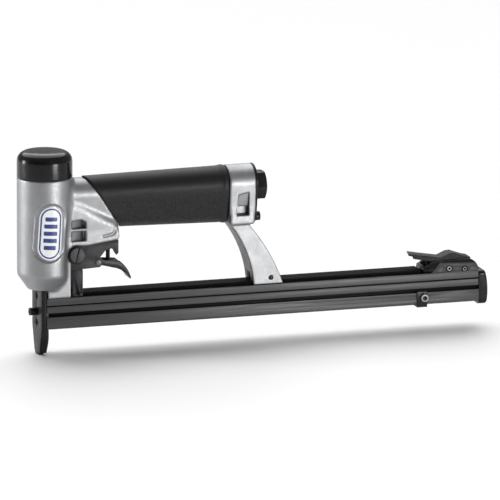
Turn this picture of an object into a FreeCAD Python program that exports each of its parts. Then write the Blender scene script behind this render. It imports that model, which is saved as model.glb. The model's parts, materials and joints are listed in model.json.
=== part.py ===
"""Pneumatic stapler with a long bottom-loading magazine, in millimetres.

+Z is up and +X runs along the magazine, away from the nose. The origin is in the middle of the
foot of the nose plate, just ahead of the point where a staple leaves the nose.
"""
import FreeCAD, Part
import math
import os

import Sketcher
from FreeCAD import Placement, Rotation, Vector

doc = FreeCAD.newDocument("Stapler")
sheet = doc.addObject("Spreadsheet::Sheet", "Sheet")
nodes = []


# ---------------------------------------------------------------- sizes and the sheet

class Size:
    """A length from the sheet, or a sum made of them: its value and the same sum in words."""

    def __init__(self, value, text):
        self.value = value
        self.text = text

    @staticmethod
    def of(thing):
        if isinstance(thing, Size):
            return thing
        return Size(float(thing), repr(float(thing)))

    def combined(self, sign, value, other):
        return Size(value, "(" + self.text + " " + sign + " " + other.text + ")")

    def __add__(self, other):
        other = Size.of(other)
        return self.combined("+", self.value + other.value, other)

    def __sub__(self, other):
        other = Size.of(other)
        return self.combined("-", self.value - other.value, other)

    def __mul__(self, other):
        other = Size.of(other)
        return self.combined("*", self.value * other.value, other)

    def __truediv__(self, other):
        other = Size.of(other)
        return self.combined("/", self.value / other.value, other)

    def __radd__(self, other):
        return Size.of(other) + self

    def __rsub__(self, other):
        return Size.of(other) - self

    def __rmul__(self, other):
        return Size.of(other) * self

    def __neg__(self):
        return Size.of(0) - self


def dimension(alias, value):
    """One driving dimension: a named cell of the sheet."""
    dimension.row += 1
    row = str(dimension.row)
    sheet.set("A" + row, alias)
    sheet.set("B" + row, str(value))
    sheet.setAlias("B" + row, alias)
    return Size(float(value), "Sheet." + alias)


dimension.row = 0


def bind(thing, path, size):
    """Drive one property of an object from the sheet."""
    thing.setExpression(path, Size.of(size).text)


# ---------------------------------------------------------------- building blocks

TURN = {
    "X": Rotation(Vector(0, 1, 0), 90),
    "Y": Rotation(Vector(1, 0, 0), -90),
    "Z": Rotation(),
}


def place(thing, at, turn=Rotation()):
    thing.Placement = Placement(Vector(), turn)
    for axis, size in zip("xyz", at):
        bind(thing, "Placement.Base." + axis, size)
    return thing


def span(ends):
    return Size.of(ends[1]) - Size.of(ends[0])


def middle(ends):
    return (Size.of(ends[0]) + Size.of(ends[1])) / 2


def box(name, x, y, z):
    """A block, each direction given as its low and high end."""
    made = doc.addObject("Part::Box", name)
    bind(made, "Length", span(x))
    bind(made, "Width", span(y))
    bind(made, "Height", span(z))
    return place(made, (x[0], y[0], z[0]))


def cylinder(name, axis, radius, at, length):
    """A round bar from the point at, along +axis."""
    made = doc.addObject("Part::Cylinder", name)
    bind(made, "Radius", radius)
    bind(made, "Height", length)
    return place(made, at, TURN[axis])


def crossbar(name, radius, x, z, half):
    """A round bar along Y, the same length to each side of the middle plane."""
    return cylinder(name, "Y", radius, (x, -Size.of(half), z), Size.of(half) * 2)


def torus(name, ring_radius, wire_radius, at, axis="Z"):
    """An O-ring."""
    made = doc.addObject("Part::Torus", name)
    bind(made, "Radius1", ring_radius)
    bind(made, "Radius2", wire_radius)
    return place(made, at, TURN[axis])


def fuse(name, *parts):
    made = doc.addObject("Part::MultiFuse", name)
    made.Shapes = list(parts)
    made.Refine = True
    return made


def common(name, first, second):
    made = doc.addObject("Part::Common", name)
    made.Base = first
    made.Tool = second
    return made


def cut(name, base, *tools):
    for number, tool in enumerate(tools):
        last = number == len(tools) - 1
        made = doc.addObject("Part::Cut", name if last else name + "_cut")
        made.Base = base
        made.Tool = tool
        made.Refine = last
        base = made
    return base


def group(name, *parts):
    """Separate solids that share one node."""
    made = doc.addObject("Part::Compound", name)
    made.Links = list(parts)
    return made


def helix_spring(name, coil_radius, wire_radius, turns, low, high, at, axis="Z"):
    """A coil spring from low to high along the axis through the point at."""
    line = doc.addObject("Part::Helix", name + "_line")
    bind(line, "Pitch", (Size.of(high) - Size.of(low)) / turns)
    bind(line, "Height", Size.of(high) - Size.of(low))
    bind(line, "Radius", coil_radius)
    wire = doc.addObject("Part::Circle", name + "_wire")
    bind(wire, "Radius", wire_radius)
    wire.Placement = Placement(Vector(), Rotation(Vector(1, 0, 0), 90))
    bind(wire, "Placement.Base.x", coil_radius)
    made = doc.addObject("Part::Sweep", name)
    made.Sections = [wire]
    made.Spine = (line, ["Edge1"])
    made.Solid = True
    made.Frenet = True
    offsets = {"X": (low, 0, 0), "Z": (0, 0, low)}[axis]
    return place(made, [Size.of(a) + Size.of(b) for a, b in zip(at, offsets)], TURN[axis])


def origin_plane(body, role):
    for feature in body.Origin.OriginFeatures:
        if feature.Role == role:
            return feature
    raise ValueError(role)


def new_sketch(body, plane, name="outline"):
    sketch = body.newObject("Sketcher::SketchObject", name)
    sketch.AttachmentSupport = [(origin_plane(body, plane + "_Plane"), "")]
    sketch.MapMode = "FlatFace"
    return sketch


def hold(sketch, direction, geometry, end, size):
    """Fix one coordinate of a point of the sketch."""
    size = Size.of(size)
    if abs(size.value) < 1e-9:
        axis = -2 if direction == "DistanceX" else -1
        sketch.addConstraint(Sketcher.Constraint("PointOnObject", geometry, end, axis))
        return
    rule = Sketcher.Constraint(direction, -1, 1, geometry, end, size.value)
    index = sketch.addConstraint(rule)
    if "Sheet" in size.text:
        bind(sketch, "Constraints[%d]" % index, size)


def hold_radius(sketch, geometry, size):
    size = Size.of(size)
    index = sketch.addConstraint(Sketcher.Constraint("Radius", geometry, size.value))
    if "Sheet" in size.text:
        bind(sketch, "Constraints[%d]" % index, size)


class Via:
    """A point that the arc between its two neighbours in an outline passes through."""

    def __init__(self, u, v):
        self.at = Vector(Size.of(u).value, Size.of(v).value, 0)


def draw_outline(sketch, points, holes=()):
    """A closed outline: corners (u, v), with a Via between two of them for an arc."""
    corners = []
    via = {}
    for point in points:
        if isinstance(point, Via):
            via[len(corners) - 1] = point.at
        else:
            corners.append((Size.of(point[0]), Size.of(point[1])))
    spots = [Vector(u.value, v.value, 0) for u, v in corners]
    starts = []
    ends = []
    for index, start in enumerate(spots):
        stop = spots[(index + 1) % len(spots)]
        if index in via:
            forward = (via[index] - start).cross(stop - via[index]).z > 0
            first, last = (start, stop) if forward else (stop, start)
            sketch.addGeometry(Part.Arc(first, via[index], last), False)
            starts.append(1 if forward else 2)
            ends.append(2 if forward else 1)
        else:
            sketch.addGeometry(Part.LineSegment(start, stop), False)
            starts.append(1)
            ends.append(2)
    count = len(spots)
    for index in range(count):
        following = (index + 1) % count
        rule = Sketcher.Constraint("Coincident", index, ends[index], following, starts[following])
        sketch.addConstraint(rule)
    for index, (u, v) in enumerate(corners):
        hold(sketch, "DistanceX", index, starts[index], u)
        hold(sketch, "DistanceY", index, starts[index], v)
    for index in via:
        chord = spots[(index + 1) % count] - spots[index]
        centre = sketch.Geometry[index].Center
        if abs(chord.x) > abs(chord.y):
            hold(sketch, "DistanceY", index, 3, centre.y)
        else:
            hold(sketch, "DistanceX", index, 3, centre.x)
    for number, (u, v, radius) in enumerate(holes):
        centre = Vector(Size.of(u).value, Size.of(v).value, 0)
        ring = Part.Circle(centre, Vector(0, 0, 1), Size.of(radius).value)
        sketch.addGeometry(ring, False)
        hold_radius(sketch, count + number, radius)
        hold(sketch, "DistanceX", count + number, 3, u)
        hold(sketch, "DistanceY", count + number, 3, v)


def pad(name, plane, ends, points, holes=()):
    """An outline in a plane of the frame, thickened between two places along its normal."""
    body = doc.addObject("PartDesign::Body", name)
    sketch = new_sketch(body, plane)
    draw_outline(sketch, points, holes)
    feature = body.newObject("PartDesign::Pad", "pad")
    feature.Profile = sketch
    feature.SideType = "Symmetric"
    bind(feature, "Length", span(ends))
    axis = {"XZ": "y", "YZ": "x", "XY": "z"}[plane]
    bind(body, "Placement.Base." + axis, middle(ends))
    return body


def turned(name, at, points, axis="Z"):
    """A body of revolution: points are (radius, distance along the axis)."""
    body = doc.addObject("PartDesign::Body", name)
    sketch = new_sketch(body, "XZ")
    draw_outline(sketch, points)
    feature = body.newObject("PartDesign::Revolution", "turn")
    feature.Profile = sketch
    feature.ReferenceAxis = (sketch, ["V_Axis"])
    feature.Angle = 360
    return place(body, at, TURN[axis])


def draw_egg(sketch, top_z, top_radius, low_z, low_radius):
    """Two arcs on the middle plane, a large one above a small one, joined by tangent lines."""
    top_z = Size.of(top_z)
    low_z = Size.of(low_z)
    top_radius = Size.of(top_radius)
    low_radius = Size.of(low_radius)
    lean = math.asin((top_radius.value - low_radius.value) / (top_z.value - low_z.value))

    def spot(centre, radius, angle):
        return Vector(radius.value * math.cos(angle), centre.value + radius.value * math.sin(angle), 0)

    right = -lean
    left = math.pi + lean
    top = Part.Arc(spot(top_z, top_radius, right), spot(top_z, top_radius, math.pi / 2),
                   spot(top_z, top_radius, left))
    low = Part.Arc(spot(low_z, low_radius, left), spot(low_z, low_radius, -math.pi / 2),
                   spot(low_z, low_radius, right))
    left_side = Part.LineSegment(spot(top_z, top_radius, left), spot(low_z, low_radius, left))
    right_side = Part.LineSegment(spot(low_z, low_radius, right), spot(top_z, top_radius, right))
    sketch.addGeometry([top, left_side, low, right_side], False)
    for first, second in ((0, 1), (1, 2), (2, 3), (3, 0)):
        sketch.addConstraint(Sketcher.Constraint("Tangent", first, 2, second, 1))
    for geometry, centre, radius in ((0, top_z, top_radius), (2, low_z, low_radius)):
        hold(sketch, "DistanceX", geometry, 3, 0)
        hold(sketch, "DistanceY", geometry, 3, centre)
        hold_radius(sketch, geometry, radius)


def egg_bar(name, x, top_z, top_radius, low_z, low_radius):
    """A straight bar of egg-shaped section along X."""
    body = doc.addObject("PartDesign::Body", name)
    sketch = new_sketch(body, "YZ")
    draw_egg(sketch, top_z, top_radius, low_z, low_radius)
    feature = body.newObject("PartDesign::Pad", "pad")
    feature.Profile = sketch
    feature.SideType = "Symmetric"
    bind(feature, "Length", span(x))
    bind(body, "Placement.Base.x", middle(x))
    return body


def egg_loft(name, sections):
    """A bar along X through egg-shaped sections (x, top_z, top_radius, low_z, low_radius)."""
    body = doc.addObject("PartDesign::Body", name)
    sketches = []
    for section in sections:
        sketch = new_sketch(body, "YZ", "section")
        bind(sketch, "AttachmentOffset.Base.z", section[0])
        draw_egg(sketch, *section[1:])
        sketches.append(sketch)
    feature = body.newObject("PartDesign::AdditiveLoft", "loft")
    feature.Profile = sketches[0]
    feature.Sections = sketches[1:]
    feature.Ruled = True
    return body


def round_edges(body, radius, wanted):
    """Round the edges of a body that the function wanted picks."""
    doc.recompute()
    tip = body.Tip
    names = ["Edge%d" % (number + 1) for number, edge in enumerate(tip.Shape.Edges) if wanted(edge)]
    feature = body.newObject("PartDesign::Fillet", "rounding")
    feature.Base = (tip, names)
    bind(feature, "Radius", radius)
    return body


def along(axis):
    """Picks the straight edges that run along an axis."""
    direction = {"X": Vector(1, 0, 0), "Y": Vector(0, 1, 0), "Z": Vector(0, 0, 1)}[axis]

    def wanted(edge):
        if not isinstance(edge.Curve, Part.Line):
            return False
        return abs(abs(edge.tangentAt(edge.FirstParameter).dot(direction)) - 1) < 1e-6

    return wanted


def node(label, part):
    """Name a finished sub-part, which gives its file the same name."""
    part.Label = label
    nodes.append((label, part))
    return part


def both_sides(name, ends, build):
    """The same plate on the -Y and +Y side: build(name, ends) makes one between two Y values."""
    low, high = ends
    near_plate = build(name + "_near", (-Size.of(high), -Size.of(low)))
    far_plate = build(name + "_far", (low, high))
    return near_plate, far_plate


# ---------------------------------------------------------------- driving dimensions

barrel_x = dimension("barrel_x", 3)
barrel_radius = dimension("barrel_radius", 20)
barrel_foot_radius = dimension("barrel_foot_radius", 12.6)
barrel_foot_z = dimension("barrel_foot_z", 48.2)
barrel_taper_z = dimension("barrel_taper_z", 58.8)
barrel_top_z = dimension("barrel_top_z", 129.5)
barrel_bore = dimension("barrel_bore", 16.4)
cap_top_z = dimension("cap_top_z", 148.5)
cap_shoulder_z = dimension("cap_shoulder_z", 141.4)
cap_spigot_radius = dimension("cap_spigot_radius", 17.5)
cap_spigot_z = dimension("cap_spigot_z", 123.5)
cap_bore = dimension("cap_bore", 15.6)
cap_ceiling_z = dimension("cap_ceiling_z", 144)

sleeve_bore = dimension("sleeve_bore", 13)
sleeve_radius = dimension("sleeve_radius", 14.6)
sleeve_foot_z = dimension("sleeve_foot_z", 60)
sleeve_top_z = dimension("sleeve_top_z", 120)
piston_clearance = dimension("piston_clearance", 0.1)
piston_low_z = dimension("piston_low_z", 106)
piston_top_z = dimension("piston_top_z", 116)
stem_radius = dimension("stem_radius", 6.4)
stem_low_z = dimension("stem_low_z", 98)
bumper_low_z = dimension("bumper_low_z", 51.6)
bumper_top_z = dimension("bumper_top_z", 63)
driver_width = dimension("driver_width", 10)
driver_thickness = dimension("driver_thickness", 1.2)
driver_tip_z = dimension("driver_tip_z", 41.5)
driver_top_z = dimension("driver_top_z", 104)

housing_half = dimension("housing_half", 11.5)
handle_axis_z = dimension("handle_axis_z", 115.7)
inlet_z = dimension("inlet_z", 113.7)
web_end_x = dimension("web_end_x", 19.1)
web_front_half = dimension("web_front_half", 11.4)
web_rear_half = dimension("web_rear_half", 11)
core_top_radius = dimension("core_top_radius", 10.5)
core_low_radius = dimension("core_low_radius", 6.5)
core_low_z = dimension("core_low_z", 97.5)
core_start_x = dimension("core_start_x", 30)
grip_end_x = dimension("grip_end_x", 137.8)
ring_low_z = dimension("ring_low_z", 94.8)
grip_front_top_x = dimension("grip_front_top_x", 32.1)
grip_front_low_x = dimension("grip_front_low_x", 57.4)
ring_end_x = dimension("ring_end_x", 157.5)
gasket_thickness = dimension("gasket_thickness", 0.5)
end_plate_thickness = dimension("end_plate_thickness", 1.2)
inlet_flats = dimension("inlet_flats", 19)
inlet_end_x = dimension("inlet_end_x", 167)
inlet_bore = dimension("inlet_bore", 5.7)
inlet_bore_length = dimension("inlet_bore_length", 13)
spigot_radius = dimension("spigot_radius", 6.6)
end_screw_z = dimension("end_screw_z", 90.6)

screw_x = dimension("screw_x", 23.5)
screw_z = dimension("screw_z", 72.9)
lug_half = dimension("lug_half", 7.9)
sheet_metal = dimension("sheet_metal", 1.6)
cheek_front_x = dimension("cheek_front_x", 18.4)
pivot_rim_radius = dimension("pivot_rim_radius", 6.8)
trigger_x = dimension("trigger_x", 40.4)
trigger_z = dimension("trigger_z", 66.1)
trigger_half = dimension("trigger_half", 6)
trigger_pin_radius = dimension("trigger_pin_radius", 1.9)
running_gap = dimension("running_gap", 0.05)
valve_x = dimension("valve_x", 50.2)
valve_stem_radius = dimension("valve_stem_radius", 1.5)
valve_stem_low_z = dimension("valve_stem_low_z", 64.4)
bushing_radius = dimension("bushing_radius", 3.8)
bushing_low_z = dimension("bushing_low_z", 82.4)
bushing_top_z = dimension("bushing_top_z", 92)
valve_chamber_top_z = dimension("valve_chamber_top_z", 104)

nose_front_x = dimension("nose_front_x", -3)
nose_joint_x = dimension("nose_joint_x", 0.6)
driver_x = dimension("driver_x", 1.25)
nose_rear_x = dimension("nose_rear_x", 3.5)
nose_half = dimension("nose_half", 11.5)
nose_tip_half = dimension("nose_tip_half", 6.1)
nose_taper_z = dimension("nose_taper_z", 20)
guide_half = dimension("guide_half", 8)

magazine_half = dimension("magazine_half", 11)
magazine_front_x = dimension("magazine_front_x", 1.3)
magazine_rear_x = dimension("magazine_rear_x", 326.3)
rail_top_z = dimension("rail_top_z", 42)
rail_ceiling_z = dimension("rail_ceiling_z", 40)
rail_low_z = dimension("rail_low_z", 31.3)
rail_lip_half = dimension("rail_lip_half", 8.4)
rail_inner_half = dimension("rail_inner_half", 9.3)
slide_gap = dimension("slide_gap", 0.2)
slide_top_z = dimension("slide_top_z", 28.3)
slide_low_z = dimension("slide_low_z", 19.4)
channel_half = dimension("channel_half", 5.7)
channel_floor_z = dimension("channel_floor_z", 21.5)
core_half = dimension("core_half", 4.1)
core_top_z = dimension("core_top_z", 37.5)
strip_half = dimension("strip_half", 7.5)
strip_top_z = dimension("strip_top_z", 44.3)
strip_front_x = dimension("strip_front_x", 19.3)
guide_rod_z = dimension("guide_rod_z", 28)
guide_rod_radius = dimension("guide_rod_radius", 1)
end_cap_x = dimension("end_cap_x", 333.4)
clip_x = dimension("clip_x", 283.2)
clip_screw_z = dimension("clip_screw_z", 24.9)

latch_pivot_x = dimension("latch_pivot_x", 304)
latch_pivot_z = dimension("latch_pivot_z", 44.8)
latch_half = dimension("latch_half", 6)
latch_pin_radius = dimension("latch_pin_radius", 1.6)
rear_rivet_x = dimension("rear_rivet_x", 315.6)
rear_rivet_z = dimension("rear_rivet_z", 43.9)
strut_pin_x = dimension("strut_pin_x", 169.7)
strut_pin_z = dimension("strut_pin_z", 46.7)
strut_pin_radius = dimension("strut_pin_radius", 1.5)

badge_angle = -5
badge_z = dimension("badge_z", 91.7)
doc.recompute()


# ---------------------------------------------------------------- barrel, cap and drive

def stadium(name, width, height, depth):
    """An upright stadium on the near side of the barrel, turned about the barrel's axis."""
    half = Size.of(width) / 2
    reach = Size.of(height) / 2 - half
    low = badge_z - reach
    high = badge_z + reach
    body = doc.addObject("PartDesign::Body", name)
    sketch = new_sketch(body, "XZ")
    points = [
        (-half, low), Via(0, low - half), (half, low),
        (half, high), Via(0, high + half), (-half, high),
    ]
    draw_outline(sketch, points)
    feature = body.newObject("PartDesign::Pad", "pad")
    feature.Profile = sketch
    bind(feature, "Length", depth)
    return place(body, (barrel_x, 0, 0), Rotation(Vector(0, 0, 1), badge_angle))


def barrel_shell(name, inner, outer):
    """A tube about the barrel's axis, tall enough for the badge."""
    low = badge_z - 30
    whole = cylinder(name + "_outer", "Z", outer, (barrel_x, 0, low), 60)
    hollow = cylinder(name + "_inner", "Z", inner, (barrel_x, 0, low), 60)
    return cut(name, whole, hollow)


def build_cap():
    dome_radius = barrel_radius - cap_top_z + cap_shoulder_z
    bend = (cap_top_z - cap_shoulder_z) * (1 - math.sqrt(0.5))
    cap = turned("cap", (barrel_x, 0, 0), [
        (0, cap_top_z), (dome_radius, cap_top_z - 0.6),
        Via(barrel_radius - bend, cap_top_z - bend - 0.2), (barrel_radius, cap_shoulder_z),
        (barrel_radius, barrel_top_z), (cap_spigot_radius, barrel_top_z),
        (cap_spigot_radius, cap_spigot_z), (cap_bore, cap_spigot_z),
        (cap_bore, cap_ceiling_z - 2), (cap_bore - 2, cap_ceiling_z), (0, cap_ceiling_z),
    ])
    node("cap", cap)
    seal_low = barrel_top_z - 0.8
    outer = cylinder("seal_outer", "Z", cap_spigot_radius + 1.3, (barrel_x, 0, seal_low), 0.8)
    inner = cylinder("seal_inner", "Z", cap_spigot_radius, (barrel_x, 0, seal_low), 0.8)
    node("cap_seal", cut("cap_seal", outer, inner))


def build_head_valve():
    low = sleeve_top_z + 0.2
    top = low + 8
    groove = low + 5
    radius = cap_bore - piston_clearance
    wire = 0.7
    valve = turned("head_valve", (barrel_x, 0, 0), [
        (0, low), (radius, low), (radius, groove - wire), (radius - 1.35, groove - wire),
        (radius - 1.35, groove + wire), (radius, groove + wire), (radius, top), (11, top),
        (11, low + 3.5), (5, low + 3.5), (5, top - 1), (0, top - 1),
    ])
    node("head_valve", valve)
    node("head_valve_oring", torus("head_valve_oring", radius - 0.65, wire, (barrel_x, 0, groove)))
    spring = helix_spring("head_valve_spring", 8, 0.7, 5, low + 4.3, cap_ceiling_z - 0.9, (barrel_x, 0, 0))
    node("head_valve_spring", spring)


def build_sleeve():
    sleeve = turned("cylinder_sleeve", (barrel_x, 0, 0), [
        (sleeve_bore, sleeve_foot_z), (barrel_bore, sleeve_foot_z), (barrel_bore, sleeve_foot_z + 4),
        (sleeve_radius, sleeve_foot_z + 4), (sleeve_radius, sleeve_top_z), (sleeve_bore, sleeve_top_z),
    ])
    node("cylinder_sleeve", sleeve)
    wire = (barrel_bore - sleeve_radius) / 2
    rings = []
    for number, height in enumerate((86, 115)):
        rings.append(torus("sleeve_ring_%d" % number, sleeve_radius + wire, wire, (barrel_x, 0, height)))
    node("sleeve_orings", group("sleeve_orings", *rings))


def build_piston():
    radius = sleeve_bore - piston_clearance
    wire = 0.9
    groove = (piston_low_z + piston_top_z) / 2
    floor = radius + 0.05 - 2 * wire
    blank = turned("piston_blank", (barrel_x, 0, 0), [
        (0, stem_low_z), (stem_radius, stem_low_z), (stem_radius, piston_low_z), (radius, piston_low_z),
        (radius, groove - wire), (floor, groove - wire), (floor, groove + wire), (radius, groove + wire),
        (radius, piston_top_z), (9, piston_top_z), (9, piston_top_z - 3), (0, piston_top_z - 3),
    ])
    half = driver_width / 2
    thick = driver_thickness / 2
    blade_ends = (driver_x - thick, driver_x + thick)
    slot = box("piston_slot", blade_ends, (-half, half), (stem_low_z - 1, driver_top_z))
    pin_z = stem_low_z + 3
    reach = stem_radius - 0.6
    pin_start = (barrel_x - reach, 0, pin_z)
    cross_hole = cylinder("piston_pin_hole", "X", 1.5, pin_start, reach * 2)
    node("piston", cut("piston", blank, slot, cross_hole))
    node("piston_oring", torus("piston_oring", floor + wire, wire, (barrel_x, 0, groove)))
    blade = box("blade_blank", blade_ends, (-half, half), (driver_tip_z, driver_top_z))
    blade_hole = cylinder("blade_hole", "X", 1.5, pin_start, reach * 2)
    node("driver_blade", cut("driver_blade", blade, blade_hole))
    node("driver_pin", cylinder("driver_pin", "X", 1.5, pin_start, reach * 2))
    foot = (barrel_x, 0, bumper_low_z)
    height = span((bumper_low_z, bumper_top_z))
    outer = cylinder("bumper_outer", "Z", sleeve_bore - 0.1, foot, height)
    inner = cylinder("bumper_inner", "Z", stem_radius + 0.4, foot, height)
    node("bumper", cut("bumper", outer, inner))


def housing_side():
    """The valve housing's side view, from the barrel to the slanted front of the grip."""
    return [
        (10, 79), (32.7, 79.3), (54.7, 82.3), (55.6, 84), (55.6, 93.4),
        (grip_front_top_x, handle_axis_z + housing_half), (10, handle_axis_z + housing_half),
    ]


def barrel_relief(name, side):
    """The slice that comes off the back of the barrel so that the web meets it in a crease."""
    return pad(name, "XY", (barrel_foot_z - 1, 104), [
        (barrel_x + 17.2, side * 5.7), (barrel_x + 9.1, side * 19), (barrel_x + 14, side * 25),
        (barrel_x + 24, side * 12), (barrel_x + 24, side * 5.7),
    ])


def build_casting():
    barrel = turned("barrel", (barrel_x, 0, 0), [
        (0, barrel_foot_z), (barrel_foot_radius, barrel_foot_z),
        (barrel_radius, barrel_taper_z),
        (barrel_radius, barrel_top_z), (0, barrel_top_z),
    ])
    reliefs = [barrel_relief("near_relief", -1), barrel_relief("far_relief", 1)]
    barrel = cut("relieved_barrel", barrel, *reliefs)
    web = pad("web", "XY", (rail_top_z, 85), [
        (nose_rear_x + 0.1, -web_front_half), (web_end_x - 0.8, -web_rear_half - 0.3),
        (web_end_x, -web_rear_half + 0.5), (web_end_x, web_rear_half - 0.5),
        (web_end_x - 0.8, web_rear_half + 0.3), (nose_rear_x + 0.1, web_front_half),
    ])
    lug = box("lug", (17, 30), (-lug_half, lug_half), (61.5, 82))
    side = pad("housing_side", "XZ", (-15, 15), housing_side())
    arch = pad("housing_arch", "YZ", (8, 60), [
        (-housing_half, 78), (housing_half, 78), (housing_half, handle_axis_z),
        Via(0, handle_axis_z + housing_half), (-housing_half, handle_axis_z),
    ])
    housing = common("housing", side, arch)
    core_x = (core_start_x, grip_end_x)
    core = egg_bar("handle_core", core_x, handle_axis_z, core_top_radius, core_low_z, core_low_radius)
    solid = fuse("casting_solid", barrel, web, lug, housing, core)

    bore = turned("barrel_bore_tool", (barrel_x, 0, 0), [
        (0, bumper_low_z), (13.6, bumper_low_z), (13.6, sleeve_foot_z), (barrel_bore, sleeve_foot_z),
        (barrel_bore, cap_spigot_z), (cap_spigot_radius, cap_spigot_z),
        (cap_spigot_radius, barrel_top_z - 0.8), (cap_spigot_radius + 1.3, barrel_top_z - 0.8),
        (cap_spigot_radius + 1.3, barrel_top_z + 1), (0, barrel_top_z + 1),
    ])
    slot_x = (driver_x - 0.8, driver_x + 0.8)
    driver_slot = box("driver_slot", slot_x, (-5.2, 5.2), (barrel_foot_z - 1, bumper_low_z + 1))
    reservoir = egg_bar("reservoir", (38, grip_end_x + 1), handle_axis_z, 8, core_low_z, 4.2)
    passage = cylinder("air_passage", "X", 4, (18, 0, handle_axis_z), 24)
    valve_bore = cylinder("valve_bore", "Z", bushing_radius, (valve_x, 0, 76), valve_chamber_top_z - 76)
    screw_hole = crossbar("pivot_screw_hole", 3, screw_x, screw_z, 12)
    cheek_low = lug_half + 0.1
    cheek_high = cheek_low + sheet_metal

    def cheek_room(name, ends):
        return box(name, (cheek_front_x, 34), ends, (61.4, 79))

    def rim_room(name, ends):
        return cylinder(name, "Y", pivot_rim_radius + 0.05, (screw_x, ends[0], screw_z), span(ends))

    rooms = both_sides("cheek_room", (cheek_low, cheek_high), cheek_room)
    rooms += both_sides("rim_room", (cheek_high, 18), rim_room)
    recess_shell = barrel_shell("badge_recess_shell", barrel_radius - 0.7, barrel_radius + 3)
    recess = common("badge_recess", recess_shell, stadium("badge_recess_outline", 22.8, 42, 30))
    pockets = []
    for name, low, high_front, high_rear in (("upper", 92.2, 98.7, 96.4), ("lower", 82.9, 90.1, 90.1)):

        def pocket(side_name, ends):
            return pad(side_name, "XZ", ends, [
                (19.6, low), (30.6, low), (30.6, high_rear), (27, high_front), (19.6, high_front - 1),
            ])

        pockets.extend(both_sides("pocket_" + name, (7.5, 13), pocket))
    tools = [bore, driver_slot, reservoir, passage, valve_bore, screw_hole, recess] + pockets + list(rooms)
    node("body_casting", cut("body_casting", solid, *tools))

    badge_shell = barrel_shell("badge_shell", barrel_radius - 0.7, barrel_radius - 0.05)
    node("badge", common("badge", badge_shell, stadium("badge_outline", 18, 39, 30)))


# ---------------------------------------------------------------- grip and rear bracket

def build_grip():
    lip = grip_end_x - 2
    outer = egg_loft("grip_outer", [
        (core_start_x, handle_axis_z, 12.4, 97.6, 8),
        (grip_end_x - 6, handle_axis_z + 0.5, 13.1, 96.4, 8.6),
        (lip, handle_axis_z + 0.4, 13.7, 96.4, 9.2),
        (grip_end_x, handle_axis_z + 0.4, 13.2, 96.4, 8.7),
    ])
    core_x = (core_start_x - 1, grip_end_x + 1)
    core = egg_bar("grip_hollow", core_x, handle_axis_z, core_top_radius, core_low_z, core_low_radius)
    slope = (grip_front_low_x - grip_front_top_x) / (127.2 - 91.7)
    front = pad("grip_front_tool", "XZ", (-20, 20), [
        (10, 60), (grip_front_low_x + slope * 31.7, 60), (grip_front_top_x - slope * 12.8, 140), (10, 140),
    ])
    node("grip_sleeve", cut("grip_sleeve", outer, core, front))


def build_rear_bracket():
    ring = egg_bar("ring", (grip_end_x, ring_end_x), handle_axis_z + 0.8, 13, ring_low_z, 9)
    strut_half = magazine_half
    strut = pad("strut", "XZ", (-strut_half, strut_half), [
        (156.7, rail_top_z), (179, rail_top_z), Via(169.3, 63.6), (151.8, 88),
        (151.8, 93), (141, 93), (139.4, 86.6), Via(150.9, 67.1),
    ])
    solid = fuse("bracket_solid", ring, strut)
    air = cylinder("ring_air", "X", 8, (grip_end_x - 1, 0, inlet_z), 12.5)
    thread = cylinder("ring_thread", "X", spigot_radius, (149, 0, inlet_z), 10)
    screw = cylinder("ring_screw", "X", 1.9, (146, 0, end_screw_z), 12)
    through = box("ring_window", (143.6, 152.5), (-16, 16), (94, 100.5))

    def scoop(name, ends):
        return pad(name, "XZ", ends, [(143.6, 94), (152.5, 94), (152.5, 111), (144.6, 109.5)])

    scoops = both_sides("ring_scoop", (10.4, 16), scoop)
    straddle_half = strip_half + 0.1
    straddle_z = (rail_top_z - 1, strip_top_z + 0.1)
    straddle = box("strut_straddle", (150, 185), (-straddle_half, straddle_half), straddle_z)
    lug_room = box("strut_lug_room", (150, 185), (-3.1, 3.1), (rail_top_z, 50.4))
    pin = crossbar("strut_pin_hole", strut_pin_radius, strut_pin_x, strut_pin_z, 12)
    bracket = cut("rear_bracket", solid, air, thread, screw, through, *scoops, straddle, lug_room, pin)
    node("rear_bracket", bracket)
    pin_half = magazine_half - 0.4
    node("strut_pin", crossbar("strut_pin", strut_pin_radius, strut_pin_x, strut_pin_z, pin_half))


def end_outline(name, x, hole):
    """A flat plate with the ring's outline and its two holes."""
    plate = egg_bar(name + "_blank", x, handle_axis_z + 0.8, 13, ring_low_z, 9)
    inlet = cylinder(name + "_inlet", "X", hole, (x[0] - 1, 0, inlet_z), 4)
    screw = cylinder(name + "_screw", "X", 1.9, (x[0] - 1, 0, end_screw_z), 4)
    return cut(name, plate, inlet, screw)


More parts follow.
